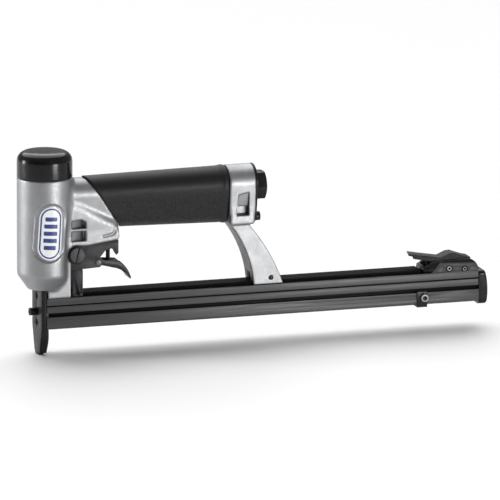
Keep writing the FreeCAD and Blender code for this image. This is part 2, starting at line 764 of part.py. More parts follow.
def build_inlet():
    plate_x = ring_end_x + gasket_thickness
    face_x = plate_x + end_plate_thickness
    node("end_gasket", end_outline("end_gasket", (ring_end_x, plate_x), spigot_radius))
    node("end_plate", end_outline("end_plate", (plate_x, face_x), spigot_radius))
    corner = inlet_flats / math.sqrt(3)
    collar_x = face_x + 0.8
    flat = inlet_flats / 2
    hexagon = pad("inlet_hexagon", "YZ", (collar_x, inlet_end_x), [
        (corner, inlet_z), (corner / 2, inlet_z + flat), (-corner / 2, inlet_z + flat),
        (-corner, inlet_z), (-corner / 2, inlet_z - flat), (corner / 2, inlet_z - flat),
    ])
    chamfer = 0.5
    dome = turned("inlet_dome", (0, 0, inlet_z), [
        (0, collar_x), (corner + 0.01, collar_x), (corner + 0.01, inlet_end_x - chamfer),
        (flat, inlet_end_x), (0, inlet_end_x),
    ], "X")
    head = common("inlet_head", hexagon, dome)
    collar = cylinder("inlet_collar", "X", 8.6, (face_x, 0, inlet_z), 0.8)
    spigot = cylinder("inlet_spigot", "X", spigot_radius, (150, 0, inlet_z), face_x - 150)
    solid = fuse("inlet_solid", head, collar, spigot)
    bore_x = inlet_end_x - inlet_bore_length
    bore = cylinder("inlet_bore_tool", "X", inlet_bore, (bore_x, 0, inlet_z), inlet_bore_length + 1)
    neck = cylinder("inlet_neck", "X", 4, (149, 0, inlet_z), 10)
    node("inlet_fitting", cut("inlet_fitting", solid, bore, neck))
    outer = cylinder("filter_outer", "X", 5.6, (134, 0, inlet_z), 16)
    inner = cylinder("filter_inner", "X", 4.7, (135, 0, inlet_z), 16)
    node("inlet_filter", cut("inlet_filter", outer, inner))
    head_length = 4.7
    shank = cylinder("end_screw_shank", "X", 1.9, (146, 0, end_screw_z), face_x - 146)
    screw_head = cylinder("end_screw_head", "X", 3.3, (face_x, 0, end_screw_z), head_length)
    socket = hex_socket("end_screw_socket", "X", 1.6, (face_x + head_length - 2.4, 0, end_screw_z), 3)
    node("end_plate_screw", cut("end_plate_screw", fuse("end_screw_solid", shank, screw_head), socket))


def hex_socket(name, axis, radius, at, depth):
    """A hexagonal hole, as a tool body."""
    made = doc.addObject("Part::Prism", name)
    made.Polygon = 6
    bind(made, "Circumradius", radius)
    bind(made, "Height", depth)
    return place(made, at, TURN[axis])


# ---------------------------------------------------------------- trigger and valve

def bracket_cheek(name, ends):
    return pad(name, "XZ", ends, [
        (cheek_front_x, 78.4), (32.7, 79.1), (54.7, 82.1), (55.3, 81.6), (55.3, 72.5), (53.9, 70.7),
        (52.4, 72.6), (51.5, 74.6), (50.2, 75.8), (45.7, 74.8), (41.6, 69.9),
        (43.2, 68.6), (43.6, 64.6), (41, 62.6), (cheek_front_x + 2, 61.6), (cheek_front_x, 64),
    ], [(screw_x, screw_z, 3), (trigger_x, trigger_z, trigger_pin_radius)])


def build_trigger_bracket():
    inner = lug_half + 0.1
    outer = inner + sheet_metal
    cheeks = both_sides("bracket_cheek", (inner, outer), bracket_cheek)
    bridge = pad("bracket_bridge", "XZ", (-outer, outer), [
        (32.7, 79.1), (44, 80.6), (44, 79.2), (32.7, 77.7),
    ])
    node("trigger_bracket", fuse("trigger_bracket", *cheeks, bridge))
    node("trigger_pin", crossbar("trigger_pin", trigger_pin_radius, trigger_x, trigger_z, outer + 0.7))

    shank = crossbar("pivot_shank", 3, screw_x, screw_z, outer)
    heads = []
    slots = []
    for side in (-1, 1):
        rim_y = outer if side > 0 else -outer - 1.6
        rim = cylinder("pivot_rim", "Y", pivot_rim_radius, (screw_x, rim_y, screw_z), 1.6)
        face_y = outer + 1.6
        face = cylinder("pivot_face", "Y", 5.7, (screw_x, face_y if side > 0 else -face_y - 2, screw_z), 2)
        heads.extend([rim, face])
        slot_y = face_y + 0.9
        slot = doc.addObject("Part::Box", "pivot_slot")
        bind(slot, "Length", 1.1)
        bind(slot, "Width", 3)
        bind(slot, "Height", 16)
        slot.Placement = Placement(Vector(), Rotation(Vector(0, 1, 0), 14))
        bind(slot, "Placement.Base.x", screw_x - 2.5)
        bind(slot, "Placement.Base.y", slot_y if side > 0 else -slot_y - 3)
        bind(slot, "Placement.Base.z", screw_z - 7.7)
        slots.append(slot)
    node("pivot_screw", cut("pivot_screw", fuse("pivot_solid", shank, *heads), *slots))


def build_trigger():
    outer = pad("trigger_outer", "XZ", (-trigger_half, trigger_half), [
        (trigger_x, 69.1), (45.5, 66.6), (57, 65.6), Via(62.3, 60.2), (66, 52.2),
        (65.2, 51.9), Via(60.4, 57.4), (53.5, 60.6), (43.8, 63.1), (trigger_x, 63),
    ])
    boss = crossbar("trigger_boss", 3.1, trigger_x, trigger_z, trigger_half)
    inside = trigger_half - sheet_metal
    channel = pad("trigger_channel", "XZ", (-inside, inside), [
        (34, 72), (34, 64), (37, 64.7), (44.4, 64.7), (53.9, 62.3), Via(59.4, 60.4), (63.2, 56.6),
        (66, 62), (58, 72),
    ])
    hole_radius = trigger_pin_radius + running_gap
    hole = crossbar("trigger_hole", hole_radius, trigger_x, trigger_z, trigger_half + 1)
    node("trigger", cut("trigger", fuse("trigger_solid", outer, boss), channel, hole))


def build_valve():
    wire = 0.5
    groove = bushing_radius - 2 * wire
    low = bushing_low_z
    ring_heights = [low + 2.6, low + 6.4]
    points = [(valve_stem_radius + 0.1, low), (bushing_radius, low)]
    for height in ring_heights:
        points += [
            (bushing_radius, height - wire), (groove, height - wire),
            (groove, height + wire), (bushing_radius, height + wire),
        ]
    points += [(bushing_radius, bushing_top_z), (valve_stem_radius + 0.1, bushing_top_z)]
    node("valve_bushing", turned("valve_bushing", (valve_x, 0, 0), points))
    rings = []
    for number, height in enumerate(ring_heights):
        rings.append(torus("bushing_ring_%d" % number, groove + wire, wire, (valve_x, 0, height)))
    node("valve_bushing_orings", group("valve_bushing_orings", *rings))
    head_low = bushing_top_z + 1.1
    stem = turned("valve_stem", (valve_x, 0, 0), [
        (0, valve_stem_low_z), (1.1, valve_stem_low_z), (valve_stem_radius, valve_stem_low_z + 0.5),
        (valve_stem_radius, head_low), (3.2, head_low), (3.2, head_low + 2), (1.2, head_low + 2),
        (1.2, head_low + 4), (0, head_low + 4),
    ])
    node("valve_stem", stem)
    ring_at = (valve_x, 0, head_low - wire)
    node("valve_stem_oring", torus("valve_stem_oring", valve_stem_radius + wire, wire, ring_at))
    spring_top = valve_chamber_top_z - 0.5
    spring = helix_spring("valve_spring", 2.4, 0.35, 5, head_low + 2.5, spring_top, (valve_x, 0, 0))
    node("valve_spring", spring)


def build_hanger():
    outer = strip_half + 0.1 + 1.4
    inner = strip_half + 0.1
    whole = box("hanger_blank", (20.8, 28.8), (-outer, outer), (rail_top_z, 61.5))
    hollow = box("hanger_hollow", (20, 30), (-inner, inner), (rail_top_z - 1, 59.9))
    holes = crossbar("hanger_hole", 0.9, 26.6, 43.3, 12)
    barrel_room = cylinder("hanger_barrel_room", "Z", barrel_radius, (barrel_x, 0, 40), 30)
    node("hanger_bracket", cut("hanger_bracket", whole, hollow, holes, barrel_room))
    screws = []
    for side in (-1, 1):
        head_y = outer if side > 0 else -outer - 0.8
        shank_y = strip_half if side > 0 else -outer
        head = cylinder("hanger_head", "Y", 1.25, (26.6, head_y, 43.3), 0.8)
        shank = cylinder("hanger_shank", "Y", 0.9, (26.6, shank_y, 43.3), outer - strip_half)
        screws.append(fuse("hanger_screw", head, shank))
    node("hanger_screws", group("hanger_screws", *screws))


# ---------------------------------------------------------------- nose

def build_nose():
    tip = nose_tip_half
    blank = pad("front_plate_blank", "YZ", (nose_front_x, nose_joint_x), [
        (-nose_half, barrel_foot_z), (nose_half, barrel_foot_z), (nose_half, nose_taper_z), (tip, 2.4),
        (tip - 2.4, 0), (-tip + 2.4, 0), (-tip, 2.4), (-nose_half, nose_taper_z),
    ])
    depth = 2.1
    screw_heights = (42.8, 23.4)
    holes = []
    recessed = []
    for height in screw_heights:
        holes.append(cylinder("nose_hole", "X", 2.6, (nose_front_x, 0, height), depth))
        body = cylinder("nose_screw", "X", 2.6, (nose_front_x + 0.5, 0, height), depth - 0.5)
        socket = hex_socket("nose_socket", "X", 1.4, (nose_front_x, 0, height), 1.6)
        recessed.append(cut("nose_screw", body, socket))
    centre_z = 31.3
    holes.append(cylinder("nose_hole", "X", 1.8, (nose_front_x, 0, centre_z), depth))
    node("nose_front_plate", cut("nose_front_plate", blank, *holes))
    node("nose_recessed_screws", group("nose_recessed_screws", *recessed))
    head_length = 5.6
    head = cylinder("centre_head", "X", 2.75, (nose_front_x - head_length, 0, centre_z), head_length)
    shank = cylinder("centre_shank", "X", 1.8, (nose_front_x, 0, centre_z), depth)
    socket = hex_socket("centre_socket", "X", 1.5, (nose_front_x - head_length - 1, 0, centre_z), 3.4)
    node("nose_centre_screw", cut("nose_centre_screw", fuse("centre_solid", head, shank), socket))

    side = pad("guide_side", "XZ", (-guide_half, guide_half), [
        (nose_joint_x, 1.5), (nose_joint_x + 1.8, 1.5), (nose_rear_x, 13), (nose_rear_x, barrel_foot_z),
        (nose_joint_x, barrel_foot_z),
    ])
    front = pad("guide_front", "YZ", (0, 5), [
        (-guide_half, 50), (guide_half, 50), (guide_half, 9),
        (tip - 0.4, 1), (-tip + 0.4, 1), (-guide_half, 9),
    ])
    window = box("guide_window", (0, 5), (-channel_half, channel_half), (19, rail_ceiling_z - 1))
    lane = box("driver_lane", (0, driver_x + 0.7), (-5.25, 5.25), (-1, barrel_foot_z + 1))
    node("nose_rear_guide", cut("nose_rear_guide", common("guide_blank", side, front), window, lane))


# ---------------------------------------------------------------- magazine

def build_rail():
    inner = rail_inner_half
    lip = rail_lip_half
    lip_top = rail_low_z + 2
    groove_low = 36
    groove_high = 36.9
    groove_floor = magazine_half - 0.6
    right = [
        (lip, lip_top), (lip, rail_low_z), (magazine_half, rail_low_z), (magazine_half, groove_low),
        (groove_floor, groove_low), (groove_floor, groove_high), (magazine_half, groove_high),
        (magazine_half, rail_top_z),
    ]
    profile = [(inner, rail_ceiling_z), (inner, lip_top)] + right
    mirrored = [(-Size.of(u), v) for u, v in reversed(profile)]
    rail = pad("rail_blank", "YZ", (magazine_front_x, magazine_rear_x - slide_gap), profile + mirrored)
    room = guide_half + 0.1
    notch = box("rail_notch", (0, nose_rear_x), (-room, room), (30, 50))
    node("magazine_rail", cut("magazine_rail", rail, notch))

    strip = box("strip_blank", (strip_front_x, 283.5), (-strip_half, strip_half), (rail_top_z, strip_top_z))
    lug = pad("strip_lug", "XZ", (-3, 3), [
        (162, strip_top_z - 1), (177, strip_top_z - 1), (176, 48), (173, 50), (164, 50), (162, 48),
    ])
    pin_hole = crossbar("strip_pin_hole", strut_pin_radius, strut_pin_x, strut_pin_z, 12)
    node("rail_top_strip", cut("rail_top_strip", fuse("strip_solid", strip, lug), pin_hole))


def build_slide():
    neck = rail_lip_half - slide_gap
    flange = rail_inner_half - slide_gap
    flange_low = rail_low_z + 2 + slide_gap
    flange_top = rail_ceiling_z - slide_gap
    right = [
        (magazine_half, slide_low_z), (magazine_half, slide_top_z), (neck, slide_top_z),
        (neck, flange_low), (flange, flange_low), (flange, flange_top), (channel_half, flange_top),
        (channel_half, channel_floor_z),
    ]
    mirrored = [(-Size.of(u), v) for u, v in reversed(right)]
    slide = pad("slide_blank", "YZ", (magazine_front_x, magazine_rear_x), right + mirrored)
    round_edges(slide, 1.2, lambda edge: along("X")(edge) and edge.BoundBox.ZMax < 20)
    room = guide_half + 0.2
    notch = box("slide_notch", (0, nose_rear_x + 0.2), (-room, room), (18, 50))
    clip_hole = cylinder("clip_hole", "Y", 1.6, (clip_x + 1.2, -magazine_half, clip_screw_z), 5)
    node("slide_channel", cut("slide_channel", slide, notch, clip_hole))

    wall = 1.2
    inside = core_half - wall
    start = 4
    stop = 318
    blank = box("core_blank", (start, stop), (-core_half, core_half), (channel_floor_z, core_top_z))
    hollow_z = (channel_floor_z, core_top_z - wall)
    hollow = box("core_hollow", (start + 1.5, stop - 1.5), (-inside, inside), hollow_z)
    slit = box("core_slit", (8, 316), (-0.9, 0.9), (core_top_z - 2, core_top_z + 1))
    rod_hole = cylinder("core_rod_hole", "X", guide_rod_radius, (start, 0, guide_rod_z), stop - start)
    node("staple_core", cut("staple_core", blank, hollow, slit, rod_hole))
    rod = cylinder("pusher_guide_rod", "X", guide_rod_radius, (start, 0, guide_rod_z), stop - start)
    node("pusher_guide_rod", rod)
    spring = helix_spring("pusher_spring", 1.75, 0.3, 34, 20.4, 316.1, (0, 0, guide_rod_z), "X")
    node("pusher_spring", spring)

    outside = channel_half - slide_gap
    over_core = core_half + slide_gap
    saddle = pad("pusher_saddle", "YZ", (5, 27), [
        (-outside, 22.5), (-outside, 39.2), (outside, 39.2), (outside, 22.5), (over_core, 22.5),
        (over_core, core_top_z + slide_gap), (-over_core, core_top_z + slide_gap), (-over_core, 22.5),
    ])
    tab = box("pusher_tab", (18, 20), (-0.7, 0.7), (29.5, core_top_z + 1))
    eye = cylinder("pusher_eye", "X", 2.4, (18, 0, guide_rod_z), 2)
    eye_hole = cylinder("pusher_eye_hole", "X", guide_rod_radius + 0.1, (17, 0, guide_rod_z), 4)
    node("pusher", cut("pusher", fuse("pusher_solid", saddle, tab, eye), eye_hole))


def build_end():
    cap = pad("end_cap", "XZ", (-magazine_half, magazine_half), [
        (magazine_rear_x, 17), (end_cap_x - 1, 17), Via(end_cap_x, 27), (end_cap_x - 2, 41.7),
        (magazine_rear_x, 41.7),
    ])
    round_edges(cap, 3, along("X"))
    round_edges(cap, 1.6, lambda edge: edge.BoundBox.XMin > 329)
    node("end_cap", cap)

    clip_ends = (clip_x - 3.7, clip_x + 3.7)
    outer = magazine_half + 1.2
    whole = box("clip_blank", clip_ends, (-outer, outer), (17.9, slide_top_z + 1))
    hollow_x = (clip_x - 5, clip_x + 5)
    hollow = box("clip_hollow", hollow_x, (-magazine_half, magazine_half), (slide_low_z, slide_top_z + 2))
    boss_y = outer + 1.2
    boss = cylinder("clip_boss", "Y", 3.1, (clip_x + 1.2, -boss_y, clip_screw_z), 1.3)
    hole = cylinder("clip_screw_hole", "Y", 1.6, (clip_x + 1.2, -16, clip_screw_z), 7)
    shell = cut("clip_shell", whole, hollow)
    node("stop_clip", cut("stop_clip", fuse("clip_solid", shell, boss), hole))
    shank_length = boss_y - magazine_half + 4
    shank = cylinder("clip_shank", "Y", 1.6, (clip_x + 1.2, -boss_y, clip_screw_z), shank_length)
    head = cylinder("clip_head", "Y", 2.7, (clip_x + 1.2, -boss_y - 1.6, clip_screw_z), 1.6)
    socket = hex_socket("clip_socket", "Y", 1.5, (clip_x + 1.2, -boss_y - 2, clip_screw_z), 2)
    node("stop_clip_screw", cut("stop_clip_screw", fuse("clip_screw_solid", head, shank), socket))


def build_latch():
    rear_x = magazine_rear_x - slide_gap

    def side_plate(name, ends):
        return pad(name, "XZ", ends, [
            (290.4, rail_top_z), (297.2, 49), (323.5, 47.9), (rear_x, 44.6), (rear_x, rail_top_z),
        ], [(latch_pivot_x, latch_pivot_z, latch_pin_radius), (rear_rivet_x, rear_rivet_z, 1.3)])

    plates = both_sides("latch_side_plate", (9.4, magazine_half), side_plate)
    node("latch_side_plates", group("latch_side_plates", *plates))

    block = pad("block_blank", "XZ", (-9.4, 9.4), [
        (285, rail_top_z), (285.8, 45.8), (287.6, 46.6), (291.5, 49.6), (301, 49.8), (307, 50.4),
        (318, 50.6), Via(323.6, 48.7), (rear_x, 45), (rear_x, rail_top_z),
    ], [(latch_pivot_x, latch_pivot_z, latch_pin_radius), (rear_rivet_x, rear_rivet_z, 1.3)])
    room = latch_half + 0.5
    channel = box("block_channel", (287, 330), (-room, room), (43.3, 60))
    well = box("block_well", (299.5, 309), (-room, room), (rail_top_z + 0.001, 50))
    node("latch_block", cut("latch_block", block, channel, well))

    top = pad("lever_top", "XZ", (-latch_half, latch_half), [
        (277, 56), Via(290, 53.6), (299.5, 52), (305.5, 54.7), (309, 55), (317.7, 51.9),
        (321.6, 51.1), (321.4, 49.5), (317.3, 50.2), (308.7, 53.2), (305.8, 53), (299.8, 50.3),
        Via(290, 51.9), (277.4, 54.3),
    ])
    inside = latch_half - 1.4

    def flange(name, ends):
        return pad(name, "XZ", ends, [
            (277.8, 55.1), (290, 52.8), (299.6, 51.2), (305.6, 53.9), (308.8, 54.1), (317.6, 51.1),
            (321, 50.4), (324.6, 47.2), (324.6, 43.7), (322, 43.7), (321, 46.6), (311, 47.4),
            (306.8, 44.2), Via(304, 42.3), (301.2, 44.2), (300.2, 48.2), (290, 50), (278.4, 52.4),
        ], [(latch_pivot_x, latch_pivot_z, latch_pin_radius + running_gap)])

    flanges = both_sides("lever_flange", (inside, latch_half), flange)
    node("latch_lever", fuse("latch_lever", top, *flanges))
    pins = [
        crossbar("latch_pivot_pin", latch_pin_radius, latch_pivot_x, latch_pivot_z, 11.4),
        crossbar("latch_rivet", 1.3, rear_rivet_x, rear_rivet_z, 11.4),
    ]
    hollows = [
        crossbar("latch_pivot_hollow", 0.8, latch_pivot_x, latch_pivot_z, 12),
        crossbar("latch_rivet_hollow", 0.7, rear_rivet_x, rear_rivet_z, 12),
    ]
    hollow_pins = [cut("latch_pin", pin, hollow) for pin, hollow in zip(pins, hollows)]
    node("latch_pins", group("latch_pins", *hollow_pins))
    spring = helix_spring("latch_spring", 2.2, 0.4, 5, 43.8, 49.9, (292, 0, 0))
    node("latch_spring", spring)


# ---------------------------------------------------------------- make, check and write

def check_document():
    doc.recompute()
    bad = [thing.Name for thing in doc.Objects if "Invalid" in thing.State or "Error" in thing.State]
    if bad:
        raise RuntimeError("failed objects: " + ", ".join(bad))
    for label, part in nodes:
        if part.Shape.isNull() or not part.Shape.isValid() or not part.Shape.Solids:
            raise RuntimeError("bad shape: " + label)


def main():
    for build in (
        build_cap, build_head_valve, build_sleeve, build_piston, build_casting, build_grip,
        build_rear_bracket, build_inlet, build_trigger_bracket, build_trigger, build_valve,
        build_hanger, build_nose, build_rail, build_slide, build_end, build_latch,
    ):
        build()
    check_document()
    os.makedirs("parts", exist_ok=True)
    for label, part in nodes:
        part.Shape.exportStep("parts/" + label + ".step")
        bounds = part.Shape.BoundBox
        print("%-22s %2d solids %9.1f mm3  x %.1f..%.1f  y %.1f..%.1f  z %.1f..%.1f" % (
            label, len(part.Shape.Solids), part.Shape.Volume, bounds.XMin, bounds.XMax,
            bounds.YMin, bounds.YMax, bounds.ZMin, bounds.ZMax))


main()
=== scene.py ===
"""The looks of a pneumatic stapler with a long magazine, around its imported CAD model.

Lengths are in millimetres up to the moment a mesh is made, and meshes are in metres, in the
frame of the CAD model: +Z up, +X along the magazine, the near side at -Y.
"""
import json
import math

import bmesh
import bpy
import numpy as np
import openvdb
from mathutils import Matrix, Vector


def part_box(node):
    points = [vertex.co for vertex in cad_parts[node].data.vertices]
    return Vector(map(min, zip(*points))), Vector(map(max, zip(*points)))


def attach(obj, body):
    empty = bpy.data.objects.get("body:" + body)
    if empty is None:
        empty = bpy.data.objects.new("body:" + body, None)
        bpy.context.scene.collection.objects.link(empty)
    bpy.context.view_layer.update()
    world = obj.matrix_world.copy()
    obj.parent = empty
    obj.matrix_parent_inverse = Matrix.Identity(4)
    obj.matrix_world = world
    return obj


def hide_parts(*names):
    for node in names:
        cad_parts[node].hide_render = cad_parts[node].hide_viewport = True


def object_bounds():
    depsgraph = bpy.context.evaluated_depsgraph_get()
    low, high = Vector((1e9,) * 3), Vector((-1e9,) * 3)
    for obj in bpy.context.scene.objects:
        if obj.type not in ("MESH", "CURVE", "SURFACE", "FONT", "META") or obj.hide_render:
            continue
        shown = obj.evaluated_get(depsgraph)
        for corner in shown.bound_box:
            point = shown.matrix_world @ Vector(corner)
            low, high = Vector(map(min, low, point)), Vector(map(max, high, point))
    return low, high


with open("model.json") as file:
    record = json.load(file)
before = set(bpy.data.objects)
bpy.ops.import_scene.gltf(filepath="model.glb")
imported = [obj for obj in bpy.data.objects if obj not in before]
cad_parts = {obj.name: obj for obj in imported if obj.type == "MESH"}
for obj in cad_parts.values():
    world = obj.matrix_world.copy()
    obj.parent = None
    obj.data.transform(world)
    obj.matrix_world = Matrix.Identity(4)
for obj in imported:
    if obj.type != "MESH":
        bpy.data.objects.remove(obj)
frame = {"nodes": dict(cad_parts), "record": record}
cad_low, cad_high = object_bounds()
nodes = frame["nodes"]
MM = 0.001


class Span:
    """The box of a CAD node, in millimetres."""

    def __init__(self, node):
        low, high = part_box(node)
        self.low = low / MM
        self.high = high / MM
        self.middle = (self.low + self.high) / 2
        self.size = self.high - self.low


barrel = Span("cap")
BARREL_X = barrel.middle.x
BARREL_RADIUS = barrel.size.x / 2
casting = Span("body_casting")
ring_box = Span("rear_bracket")
plate_box = Span("end_plate")
grip_box = Span("grip_sleeve")
rail = Span("magazine_rail")
strip = Span("rail_top_strip")
inlet = Span("inlet_fitting")
screw_box = Span("pivot_screw")
badge_box = Span("badge")
bumper = Span("bumper")
stop_screw = Span("stop_clip_screw")
rivets = Span("latch_pins")
latch_joint = next(j for j in frame["record"]["behaviour"]["joints"] if j["name"] == "latch_press")
FRONT_RIVET = (latch_joint["pos_m"][0] / MM, latch_joint["pos_m"][2] / MM)
REAR_RIVET_RADIUS = 1.3
REAR_RIVET = (rivets.high.x - REAR_RIVET_RADIUS, rivets.low.z + REAR_RIVET_RADIUS)
HANDLE_Z = 115.7
RING_TOP_Z = HANDLE_Z + 0.8


# ---------------------------------------------------------------- shader building blocks

def new_material(name, colour, roughness, metallic=0.0, **sockets):
    """A Principled material, with constants set on the shader's own sockets."""
    material = bpy.data.materials.new(name)
    material.use_nodes = True
    shader = material.node_tree.nodes["Principled BSDF"]
    shader.inputs["Base Color"].default_value = (*colour, 1)
    shader.inputs["Roughness"].default_value = roughness
    shader.inputs["Metallic"].default_value = metallic
    for socket, value in sockets.items():
        shader.inputs[socket.replace("_", " ")].default_value = value
    material.diffuse_color = (*colour, 1)
    return material


class Web:
    """Short names for adding and joining a material's nodes."""

    def __init__(self, material):
        self.tree = material.node_tree
        self.shader = self.tree.nodes["Principled BSDF"]
        self.normal = self.add("ShaderNodeNewGeometry").outputs["Normal"]
        self.height = None

    def add(self, kind, **settings):
        made = self.tree.nodes.new(kind)
        for key, value in settings.items():
            setattr(made, key, value)
        return made

    def join(self, source, target):
        self.tree.links.new(source, target)

    def scaled(self, scale):
        """Object coordinates, stretched by a factor along each axis."""
        made = self.add("ShaderNodeMapping")
        made.inputs["Scale"].default_value = scale
        self.join(self.coordinates(), made.inputs["Vector"])
        return made.outputs["Vector"]

    def coordinates(self):
        """Object coordinates, so that the pattern moves with its piece."""
        made = self.add("ShaderNodeTexCoord")
        return made.outputs["Object"]

    def place(self):
        """Object coordinates, as a node with the outputs X, Y and Z."""
        made = self.add("ShaderNodeSeparateXYZ")
        self.join(self.coordinates(), made.inputs["Vector"])
        return made

    def noise(self, scale, detail=3.0, stretch=(1, 1, 1)):
        """Noise with features of about 1 / scale metres."""
        made = self.add("ShaderNodeTexNoise")
        made.inputs["Scale"].default_value = scale
        made.inputs["Detail"].default_value = detail
        self.join(self.scaled(stretch), made.inputs["Vector"])
        return made.outputs["Fac"]

    def spread(self, source, low, high, from_low=0.3, from_high=0.7):
        """A value, stretched from one range to another and clamped."""
        made = self.add("ShaderNodeMapRange")
        made.inputs["From Min"].default_value = from_low
        made.inputs["From Max"].default_value = from_high
        made.inputs["To Min"].default_value = low
        made.inputs["To Max"].default_value = high
        self.join(source, made.inputs["Value"])
        return made.outputs["Result"]

    def math(self, operation, first, second):
        made = self.add("ShaderNodeMath", operation=operation)
        for socket, value in zip(made.inputs, (first, second)):
            if isinstance(value, (int, float)):
                socket.default_value = value
            else:
                self.join(value, socket)
        return made.outputs["Value"]

    def distance_from(self, centre_x, centre_z):
        """How far a point is, seen from the side, from a centre in millimetres."""
        place = self.place()
        sideways = self.math("SUBTRACT", place.outputs["X"], centre_x * MM)
        upwards = self.math("SUBTRACT", place.outputs["Z"], centre_z * MM)
        squares = [self.math("MULTIPLY", offset, offset) for offset in (sideways, upwards)]
        return self.math("SQRT", self.math("ADD", *squares), 0)

    def clear_of(self, value, inner_mm, outer_mm, *centres):
        """A value that falls to 0 inside a disc round each centre."""
        for centre in centres:
            clear = self.spread(self.distance_from(*centre), 0, 1, inner_mm * MM, outer_mm * MM)
            value = self.math("MULTIPLY", value, clear)
        return value

    def two_colours(self, factor, first, second):
        made = self.add("ShaderNodeMix", data_type="RGBA")
        made.inputs["A"].default_value = (*first, 1)
        made.inputs["B"].default_value = (*second, 1)
        self.join(factor, made.inputs["Factor"])
        self.join(made.outputs["Result"], self.shader.inputs["Base Color"])

    def roughness(self, source):
        self.join(source, self.shader.inputs["Roughness"])

    def bump(self, source, depth_mm):
        """Raise the surface by up to depth_mm where the source is 1, on top of earlier bumps."""
        made = self.add("ShaderNodeBump")
        made.inputs["Strength"].default_value = 1
        made.inputs["Distance"].default_value = depth_mm * MM
        self.join(source, made.inputs["Height"])
        if self.height is not None:
            self.join(self.height, made.inputs["Normal"])
        self.height = made.outputs["Normal"]
        self.join(self.height, self.shader.inputs["Normal"])


def cast_aluminium(name, painted_forward_shade=0.0):
    """Tumbled die casting: satin silver, with a very fine grain and faint cloudy patches.

    The last argument is how much darker the faces that look forward (along -X) are painted: painted shade,
    standing in for the shadow that falls on them.
    """
    material = new_material(name, (0.31, 0.313, 0.32), 0.38, 0.85)
    web = Web(material)
    patches = web.spread(web.noise(90, 4), 0, 1)
    if painted_forward_shade:
        # Painted shade: faces whose normal points along -X get a darker colour, down to near black.
        facing = web.add("ShaderNodeSeparateXYZ")
        web.join(web.normal, facing.inputs["Vector"])
        painted_forward_shade_mask = web.spread(facing.outputs["X"], painted_forward_shade, 0, -0.8, -0.5)
        patches = web.math("SUBTRACT", patches, painted_forward_shade_mask)
        shade = web.spread(patches, 0, 1, -painted_forward_shade, 1)
        web.two_colours(shade, (0.04, 0.04, 0.042), (0.35, 0.353, 0.36))
    else:
        web.two_colours(patches, (0.285, 0.288, 0.296), (0.335, 0.338, 0.346))
    web.roughness(web.spread(web.noise(700, 2), 0.38, 0.52))
    web.bump(web.noise(1400, 2), 0.05)
    web.bump(web.noise(240, 2), 0.03)
    return material


def glossy_black():
    """Moulded cap: glossy black with faint swirls and a very light orange peel."""
    material = new_material("glossy_black", (0.008, 0.008, 0.009), 0.2, Specular_IOR_Level=0.24)
    web = Web(material)
    web.two_colours(web.spread(web.noise(60, 3), 0, 1), (0.005, 0.005, 0.006), (0.010, 0.010, 0.011))
    web.roughness(web.spread(web.noise(220, 4), 0.13, 0.24))
    web.bump(web.noise(420, 1), 0.008)
    return material


def grip_rubber():
    """Moulded rubber: a fine diamond pattern low on the sides, fading to a leathery top."""
    material = new_material("grip_rubber", (0.014, 0.014, 0.015), 0.5, Specular_IOR_Level=0.3)
    web = Web(material)
    pitch = 1.5 * MM
    slant = 1.25
    place = web.place()
    waves = []
    for lean in (slant, -slant):
        along = web.math("ADD", place.outputs["X"], web.math("MULTIPLY", place.outputs["Z"], lean))
        waves.append(web.math("SINE", web.math("MULTIPLY", along, 2 * math.pi / pitch), 0))
    diamond = web.math("MULTIPLY", waves[0], waves[1])
    low_side = web.spread(place.outputs["Z"], 1, 0, (HANDLE_Z - 6) * MM, (HANDLE_Z + 1) * MM)
    grain = web.spread(web.noise(700, 3), 0.3, 1)
    web.two_colours(web.math("MULTIPLY", grain, low_side), (0.007, 0.007, 0.008), (0.040, 0.040, 0.041))
    web.bump(web.math("MULTIPLY", diamond, low_side), 0.16)
    web.bump(web.noise(1500, 3), 0.10)
    web.roughness(web.spread(web.noise(900, 2), 0.40, 0.58))
    return material


def brushed(name, dark, light, roughness_low, roughness_high, depth_mm=0.02):
    """Anodised metal with fine lines along X; only its outermost side faces are light, and every other
    face, grooves included, is painted near black and made less reflective as shade.
    """
    material = new_material(name, light, roughness_high, 0.1, Specular_IOR_Level=0.35)
    web = Web(material)
    lines = web.noise(1.0, 4, (14, 2600, 2600))
    across = web.math("ABSOLUTE", web.place().outputs["Y"], 0)
    # Painted shade: only faces at the outermost sides keep the light colour; groove floors and all other
    # faces get the near-black one.
    side = web.spread(across, 0, 1, (rail.high.y - 0.5) * MM, (rail.high.y - 0.3) * MM)
    web.two_colours(web.math("MULTIPLY", web.spread(lines, 0.6, 1), side), dark, light)
    web.join(web.spread(side, 0.05, 0.4, 0, 1), web.shader.inputs["Specular IOR Level"])
    web.roughness(web.spread(web.noise(1.0, 3, (30, 900, 900)), roughness_low, roughness_high))
    web.bump(lines, depth_mm)
    web.bump(web.noise(1800, 2), 0.01)
    return material


def blackened(name, dark, light, roughness_low, roughness_high, shine=0.3):
    """Oxide-black or phosphated steel, slightly blotchy, with a fine tooth."""
    material = new_material(name, light, roughness_high, 0.1 * shine / 0.3, Specular_IOR_Level=shine)
    web = Web(material)
    web.two_colours(web.spread(web.noise(260, 5), 0, 1), dark, light)
    web.roughness(web.spread(web.noise(900, 3), roughness_low, roughness_high))
    web.bump(web.noise(2400, 2), 0.02)
    return material


